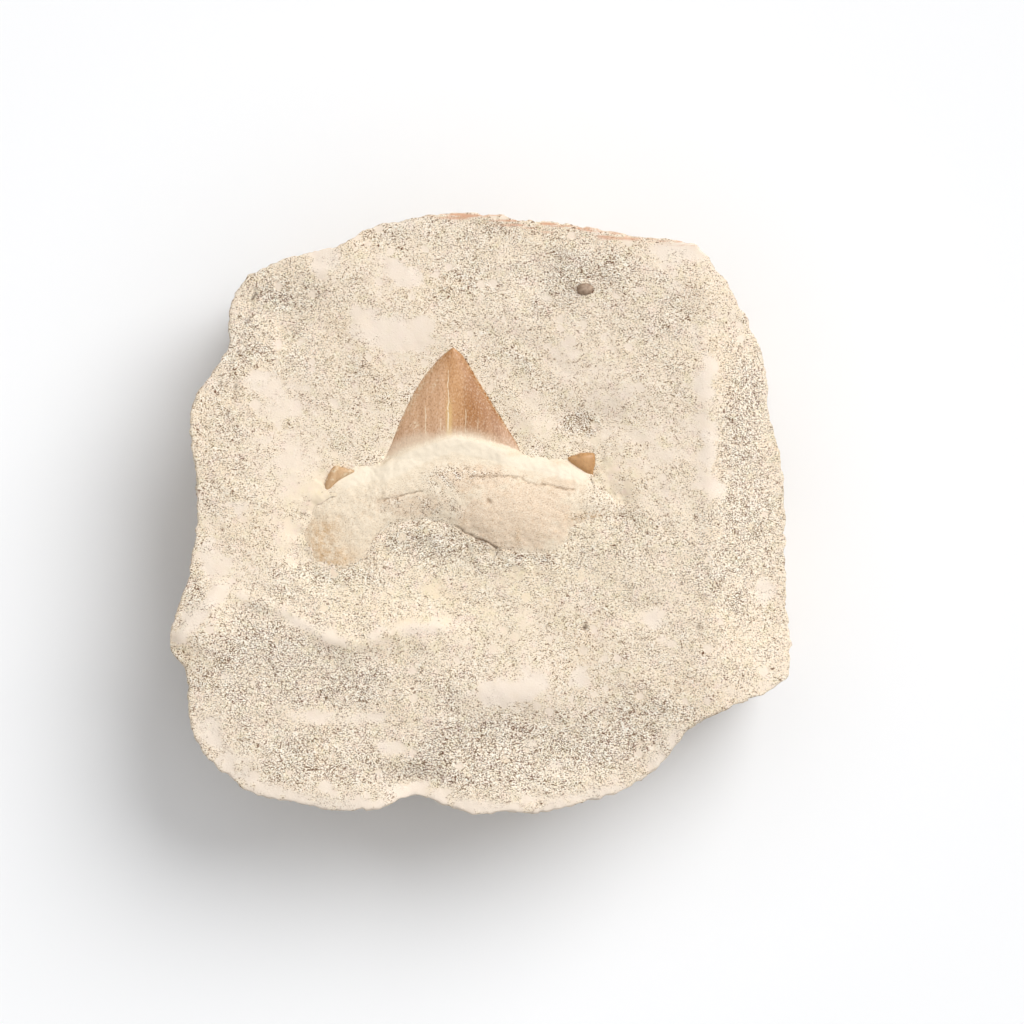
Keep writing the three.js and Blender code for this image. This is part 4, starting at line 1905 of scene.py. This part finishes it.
    # The painted layers.
    ragged: Swirl = Swirl(2.2, 4, 6.0, 0.9)
    crack_level: float = 0.75
    crack_gaps: Swirl = Swirl(0.8, 3, 15.0, 1.1)
    rust_fray: float = 0.4
    rust_strip: Span = Span(0.0, 1.0)
    rust_columns: Span = Span(-12.0, -9.0)
    rust_heights: Span = Span(20.0, 24.0)
    rust_ragged: float = 2.0
    rust_steep: float = 0.45
    rust_level: float = 0.55
    dust_level: float = 0.75
    dust_gaps: Swirl = Swirl(2.0, 4, 16.0, 1.2)
    dust_calm: float = 0.9
    pale_calm: float = 0.6
    pale_share: float = 0.5
    # Walls: how far below the face they start, from where outwards, and their darkness.
    wall_fray: Swirl = Swirl(4.0, 5, 19.0, 1.9)
    wall_reach: Span = Span(0.86, 0.92)
    wall_drop: Span = Span(1.6, 3.6)
    foot: float = 2.0
    weathering: Swirl = Swirl(9.0, 4, 23.0)
    wall_rough: tuple[float, float] = (0.65, 0.6)
    wall_shade: tuple[float, float] = (0.8, 0.5)
    deep_drop: Span = Span(6.0, 12.0, 0.3)
    upper_shade: float = 0.85

    def face_height(self, points: Array) -> Array:
        """Height of the broken upper face, without its fine grain.

        Args:
            points: Places in mm, of which only X and Y count.

        Returns:
            The height over each in mm.
        """
        x, y = points[:, 0], points[:, 1]
        z = np.full(len(points), self.top)
        (long_x, start_x), (long_y, start_y) = self.waves
        swell = np.sin(x / long_x + start_x) * np.cos(y / long_y + start_y)
        z += self.lift * swell * self.wave_share
        z += self.lift * np.sin((x + y) / self.slanting_wave) * self.slanting_share
        z -= self.hollow.weight * smooth((1.0 - self.hollow.reach(points)) * self.hollow_steepness)
        z -= (self.slant_least + self.slant_rows.of(y)) * self.slant.of(x)
        return z + gathered(self.swells, points)

    def relief(self, points: Array) -> Array:
        """How far the broken face stands above or below its plain height.

        Args:
            points: Places in mm, one row each.

        Returns:
            The relief in mm.
        """
        flat = np.column_stack([points[:, 0], points[:, 1], np.zeros(len(points))])
        rough = self.roughness(flat)
        (bump, rough_bump), (clump, rough_clump) = self.bump_heights, self.clump_heights
        high = self.rolling.at(flat)
        high += (bump + rough_bump * rough) * self.bumps.at(flat)
        high += (clump + rough_clump * rough) * (MIDDLE - self.clumps.at(flat))
        high += gathered(self.ridges, flat) - gathered(self.grooves, flat)
        return high - gathered(self.holes, flat)

    def banked(self, points: Array, height: Array) -> Array:
        """The face's height, with sand lying against the tooth.

        Args:
            points: Places in mm.
            height: The face's height there without the tooth.

        Returns:
            The height with the sand.
        """
        low, high = (np.array(corner) for corner in self.bank_zone)
        near = np.flatnonzero(((points[:, :2] > low) & (points[:, :2] < high)).all(axis=1))
        spots = np.column_stack([points[near, :2], np.zeros(len(near))])
        rim = self.tooth.rim()[:: self.rim_stride]
        gap = np.full(len(near), FAR)
        level = np.zeros(len(near))
        for x, y, z in rim:
            reach = np.hypot(spots[:, 0] - x, spots[:, 1] - y)
            closer = reach < gap
            gap[closer] = reach[closer]
            level[closer] = z
        surface = self.tooth.top(spots)
        inside = surface > 0.0
        rooty = self.root_rows.of(spots[:, 1] - self.root_slope * spots[:, 0])
        (bank, root_bank), (swirl, root_swirl) = self.bank_heights, self.bank_swirls
        bank = (bank + root_bank * rooty) + (swirl + root_swirl * rooty) * self.drifts.at(spots)
        bank += gathered(self.heaps, spots)
        share = self.bank_reach.of(gap)
        share[inside] = 1.0
        lying = height[near] * (1.0 - share) + (level + bank) * share
        result = height.copy()
        result[near] = lying
        return result

    def surface(self, points: Array) -> Array:
        """The finished height of the upper face."""
        return self.banked(points, self.face_height(points) + self.relief(points))

    def roughness(self, points: Array) -> Array:
        """How grainy the stone is at each point, from 0 to 1.

        Args:
            points: Places in mm, one row each.

        Returns:
            The graininess.
        """
        frayed = self.fray_level + self.frays.at(points * FLAT)
        grainy, cemented = gathered(self.grainy, points), gathered(self.cemented, points)
        return np.clip(MIDDLE + grainy - cemented * frayed, 0.0, 1.0)

    def worked(self, points: Array) -> Array:
        """How much of the maker's cleaning shows round the tooth, from 0 to 1."""
        edge = self.cleaned.weight - self.cleaned.reach(points) + self.cleaned_frays.at(points)
        return smooth(edge * self.cleaned_steepness)

    def lattice(self, rim: Array, step: float) -> Array:
        """Points of a triangular lattice inside a ring round the origin.

        Args:
            rim: The ring.
            step: Distance between points, in mm.

        Returns:
            The points, in two columns.
        """
        reach = np.hypot(rim[:, 0], rim[:, 1])
        rows = int(reach.max() / step / ROW_RATIO) + 1
        columns = int(reach.max() / step) + 1
        j, i = np.mgrid[-rows : rows + 1, -columns : columns + 1]
        flat = np.stack([(i + 0.5 * (j & 1)) * step, j * step * ROW_RATIO], -1).reshape(-1, 2)
        limit = reach_towards(rim, flat) - self.rim_clearance * step
        return flat[np.hypot(flat[:, 0], flat[:, 1]) < limit]

    def disc(self, rim: Array, inner: Array) -> tuple[Array, list[tuple[int, ...]]]:
        """A triangulated disc inside a ring.

        Args:
            rim: The ring, whose points come first in the result.
            inner: The points inside it.

        Returns:
            The points and the triangles.
        """
        count = len(rim)
        edges = [(i, (i + 1) % count) for i in range(count)]
        corners = [Vector(p) for p in np.vstack([rim, inner]).tolist()]
        points, _, faces, *_ = delaunay_2d_cdt(corners, edges, [], 1, MERGED, False)
        places, faces = np.array([tuple(p) for p in points]), np.array([tuple(f) for f in faces])
        on_rim = np.flatnonzero((faces < count).all(axis=1))
        outside = ~enclosed(places[faces[on_rim]].mean(axis=1), rim)
        return places, [tuple(face) for face in np.delete(faces, on_rim[outside], axis=0).tolist()]

    def face_points(self, edge: Array) -> Array:
        """Lattice points of the upper face, closer together round the tooth.

        Args:
            edge: The face's rim.

        Returns:
            The points, in two columns.
        """
        coarse, fine = self.lattice(edge, self.face_step), self.lattice(edge, self.fine_step)
        coarse_far = self.fine_zone.mask(coarse) < math.exp(-1.0)
        fine_near = self.fine_zone.mask(fine) >= math.exp(-self.zone_seam)
        return np.vstack([coarse[coarse_far], fine[fine_near]])

    def outwards(self, points: Array) -> Array:
        """How far out each point is, as a share of the outline's reach in its direction."""
        rim = curve_through(self.outline, self.steps_round, closed=True)
        return np.hypot(points[:, 0], points[:, 1]) / reach_towards(rim, points)

    def chipped(self, points: Array) -> Array:
        """The block's points, with its walls broken into blunt facets.

        Args:
            points: Places in mm on the smooth block.

        Returns:
            The moved places.
        """
        reach = np.hypot(points[:, 0], points[:, 1])
        outer = self.outwards(points)
        level = points[:, 2] / self.top
        tall = points * np.array([1.0, 1.0, self.upright])
        chips = self.flakes.at(tall) + np.abs(self.breaks.at(tall)) - self.chip_drop
        chips = np.clip(chips, *self.chip_range) + gathered(self.bites, points)
        under = np.abs(self.caves.at(points))
        under += np.clip(self.slabs.at(points) - self.slab_drop, *self.slab_range)
        under += self.knobs.at(points)
        chips += under * self.under_levels.of(level)
        nicks = self.nicks.at(tall) + self.nick_flakes.at(tall) - self.nick_drop
        depth = chips * self.broad_zone.of(outer)
        depth += np.clip(nicks, *self.nick_range) * self.sharp_zone.of(outer)
        moved = points.copy()
        moved[:, :2] *= (1.0 - depth / reach.clip(1.0))[:, None]
        return moved

    def shell(self) -> bpy.types.Object:
        """The closed, weathered block.

        Returns:
            The new object, without pockets.
        """
        rim = curve_through(self.outline, self.steps_round, closed=True)
        reach, steps = self.side_reach, self.profile_steps
        profile = [(share * reach, level * self.top) for share, level in self.side]
        profile = curve_through(profile, steps, closed=False)
        picks = (steps - 1) * np.linspace(0.0, 1.0, self.steps_down) ** self.profile_bunching
        profile = profile[picks.astype(int)]
        edge = rim * self.side[0][0]
        face, face_faces = self.disc(edge, self.face_points(edge))
        face = np.column_stack([face, self.surface(face)])
        edge_height = face[: len(rim), 2]
        rings = [
            np.column_stack([rim * (share / reach), edge_height * (height / self.top)])
            for share, height in profile[1:]
        ]
        foot = rim * self.side[-1][0]
        base, base_faces = self.disc(foot, self.lattice(foot, self.base_step))
        base = np.column_stack([base, np.zeros(len(base))])

        count = self.steps_round
        starts = [0] + [len(face) + k * count for k in range(len(rings))]
        points = np.vstack([face, *rings, base[count:]])
        faces = list(face_faces) + ring_bands(starts, len(starts), count)
        shift = starts[-1]
        inner = len(face) + len(rings) * count - count
        for a, b, c in base_faces:
            faces.append(tuple(shift + k if k < count else inner + k for k in (a, c, b)))
        low, high = (np.array(corner) / MM for corner in CAD_BOX)
        inset = self.inset * FLAT
        broken = np.clip(self.chipped(points), low + inset, high - inset)
        return new_piece("stone_block", broken, faces)

    def paint(self, piece: bpy.types.Object) -> None:
        """Stores the painted layers that the finish reads.

        Args:
            piece: The stone with its pockets.
        """
        points, ways = places_of(piece), normals_of(piece)
        ragged, up = self.ragged.at(points), UPWARD.of(ways[:, 2])
        pale = strongest(patch.patch(points, ragged) for patch in self.pale_patches)
        broken = smooth(self.crack_level + self.crack_gaps.at(points))
        wavering = wandered(points)
        # Cracks and holes, painted dark as the shade inside them.
        cracks = strongest(
            [crack.mask(wavering) * broken for crack in self.cracks]
            + [hole.mask(points) for hole in self.holes]
        )
        strip = points[:, 1] - np.interp(points[:, 0], *np.transpose(self.rust_edge))
        rust = self.rust_strip.of(strip + self.rust_fray * ragged)
        rust = rust * self.rust_columns.of(points[:, 0])
        rust *= self.rust_heights.of(points[:, 2] - self.rust_ragged * ragged)
        rust *= self.rust_steep + self.rust_level * up
        border = self.border.mask(points) * smooth(self.dust_level + self.dust_gaps.at(points))

        below = self.face_height(points) - points[:, 2] + self.wall_fray.at(points)
        reached = self.wall_reach.of(self.outwards(points))
        side = self.wall_drop.of(below) * np.maximum(reached, points[:, 2] < self.foot)
        weathered = self.weathering.at(points)
        (rough, weather_rough), (shade, weather_shade) = self.wall_rough, self.wall_shade
        rough = self.roughness(points) * (1.0 - side) + (rough + weather_rough * weathered) * side
        calm = (1.0 - self.dust_calm * border) * (1.0 - self.pale_calm * pale * up)
        shade = shade + weather_shade * weathered - self.deep_drop.of(below)
        upper = np.maximum(shade, self.upper_shade)
        layers = {
            Layer.PREPARED: self.worked(points) * up,
            Layer.ROUGH: rough * calm,
            Layer.PALE: self.pale_share * pale * up,
            Layer.DUST: border,
            Layer.STAIN: gathered(self.stains, points) * up,
            Layer.RUST: rust,
            Layer.CRACK_SHADE: cracks * up,
            Layer.WALL: side * np.where(below < self.deep_drop.low, upper, shade),
        }
        for layer, values in layers.items():
            paint_layer(piece, layer, values)

    def build(self, buried: Sequence[bpy.types.Object]) -> bpy.types.Object:
        """Makes the stone with its pockets.

        Args:
            buried: Closed meshes whose shapes are cut out of the stone.

        Returns:
            The finished piece.
        """
        piece = self.shell()
        for other in buried:
            boolean(piece, other, "DIFFERENCE")
        drop_crumbs(piece)
        piece.data.materials.clear()
        piece.data.materials.append(SandyStone().make())
        self.paint(piece)
        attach(piece, "root")
        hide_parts("stone_matrix")
        return piece


# ---------------------------------------------------------------- the pebble


@dataclass
class GreyPebble:
    """The small pebble set in the stone's face."""

    steps: int = 4
    knobbly: float = 0.12
    knobs: Swirl = Swirl(0.9, 3, 12.0)

    def ball(self, grow: float) -> bpy.types.Object:
        """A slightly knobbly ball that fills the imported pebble's box.

        Args:
            grow: How much larger it is on each side, in mm.

        Returns:
            The new object.
        """
        low, high = (np.array(corner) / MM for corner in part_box("grey_pebble"))
        middle, half = (low + high) / 2, (high - low) / 2
        bpy.ops.mesh.primitive_ico_sphere_add(subdivisions=self.steps, radius=1.0)
        piece = bpy.context.object
        points = places_of(piece) * MM
        points /= np.linalg.norm(points, axis=1)[:, None]
        shrink = 1.0 - self.knobbly * np.abs(self.knobs.at(points))
        move_points(piece, middle + points * (half + grow) * shrink[:, None])
        piece.data.shade_smooth()
        return piece

    def build(self) -> bpy.types.Object:
        """Makes the pebble.

        Returns:
            The finished piece.
        """
        piece = self.ball(0.0)
        piece.name = "pebble"
        piece.data.materials.append(GreyFlint().make())
        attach(piece, "root")
        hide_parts("grey_pebble")
        return piece


# ---------------------------------------------------------------- the studio


@dataclass
class Studio:
    """White floor, soft light from the upper right, and a camera that looks down."""

    floor_reach: float = 8.0
    # Energy, spread in radians, elevation and azimuth in degrees of each broad light.
    lamps: tuple[tuple[str, float, float, float, float], ...] = (
        ("key", 2.3, 0.8, 42.0, 45.0),
        ("overhead", 1.72, 2.0, 89.0, 45.0),
    )
    room: float = 0.02
    camera_elevation: float = 89.0
    camera_distance: float = 1.2
    view_width: float = 163.84
    sensor: float = 36.0
    target: tuple[float, float, float] = (4.8, 0.6, 20.0)

    def floor(self) -> bpy.types.Object:
        """The floor, which isn't part of the object.

        Returns:
            The floor.
        """
        reach = self.floor_reach / MM
        signs = ((-1, -1, 0), (1, -1, 0), (1, 1, 0), (-1, 1, 0))
        corners = reach * np.array(signs, float)
        floor = new_piece("floor", corners, [(0, 1, 2, 3)])
        floor.data.materials.append(StudioWhite().make())
        return floor

    def lights(self) -> None:
        """Broad lights and an even white room."""
        for name, energy, spread, elevation, azimuth in self.lamps:
            data = bpy.data.lights.new(name, "SUN")
            data.energy = energy
            data.angle = spread
            lamp = bpy.data.objects.new(name, data)
            bpy.context.scene.collection.objects.link(lamp)
            up, round_ = math.radians(elevation), math.radians(azimuth)
            flat = math.cos(up)
            towards = Vector((flat * math.cos(round_), flat * math.sin(round_), math.sin(up)))
            lamp.rotation_euler = towards.to_track_quat("Z", "Y").to_euler()
        world = bpy.data.worlds.new("room")
        world.use_nodes = True
        sky = world.node_tree.nodes["Background"]
        sky.inputs["Color"].default_value = (1.0, 1.0, 1.0, 1.0)
        sky.inputs["Strength"].default_value = self.room
        bpy.context.scene.world = world

    def camera(self) -> bpy.types.Object:
        """The camera, nearly straight above.

        Returns:
            The camera.
        """
        data = bpy.data.cameras.new("camera")
        data.sensor_width = self.sensor
        data.lens = self.sensor * self.camera_distance / (self.view_width * MM)
        camera = bpy.data.objects.new("camera", data)
        bpy.context.scene.collection.objects.link(camera)
        tilt = math.radians(self.camera_elevation)
        away = Vector((0.0, -math.cos(tilt), math.sin(tilt)))
        camera.location = Vector(self.target) * MM + away * self.camera_distance
        camera.rotation_euler = away.to_track_quat("Z", "Y").to_euler()
        bpy.context.scene.camera = camera
        return camera

    def build(self) -> None:
        """Sets up the whole studio."""
        self.camera()
        self.lights()
        self.floor()
        bpy.context.scene.view_settings.view_transform = "Standard"


# ---------------------------------------------------------------- main


def report(piece: bpy.types.Object) -> None:
    """Logs a finished piece's name and size."""
    mesh = piece.data
    LOG.info("%s: %d points, %d faces", piece.name, len(mesh.vertices), len(mesh.polygons))


def main() -> None:
    """Builds every piece in order, then the studio."""
    logging.basicConfig(level=logging.INFO, format="%(name)s: %(message)s")
    tooth, pebble = SharkTooth(), GreyPebble()
    report(tooth.build())
    report(pebble.build())
    report(StoneMatrix(tooth).build([tooth.cutter(), pebble.ball(0.0)]))
    Studio().build()


if __name__ == "__main__":
    main()
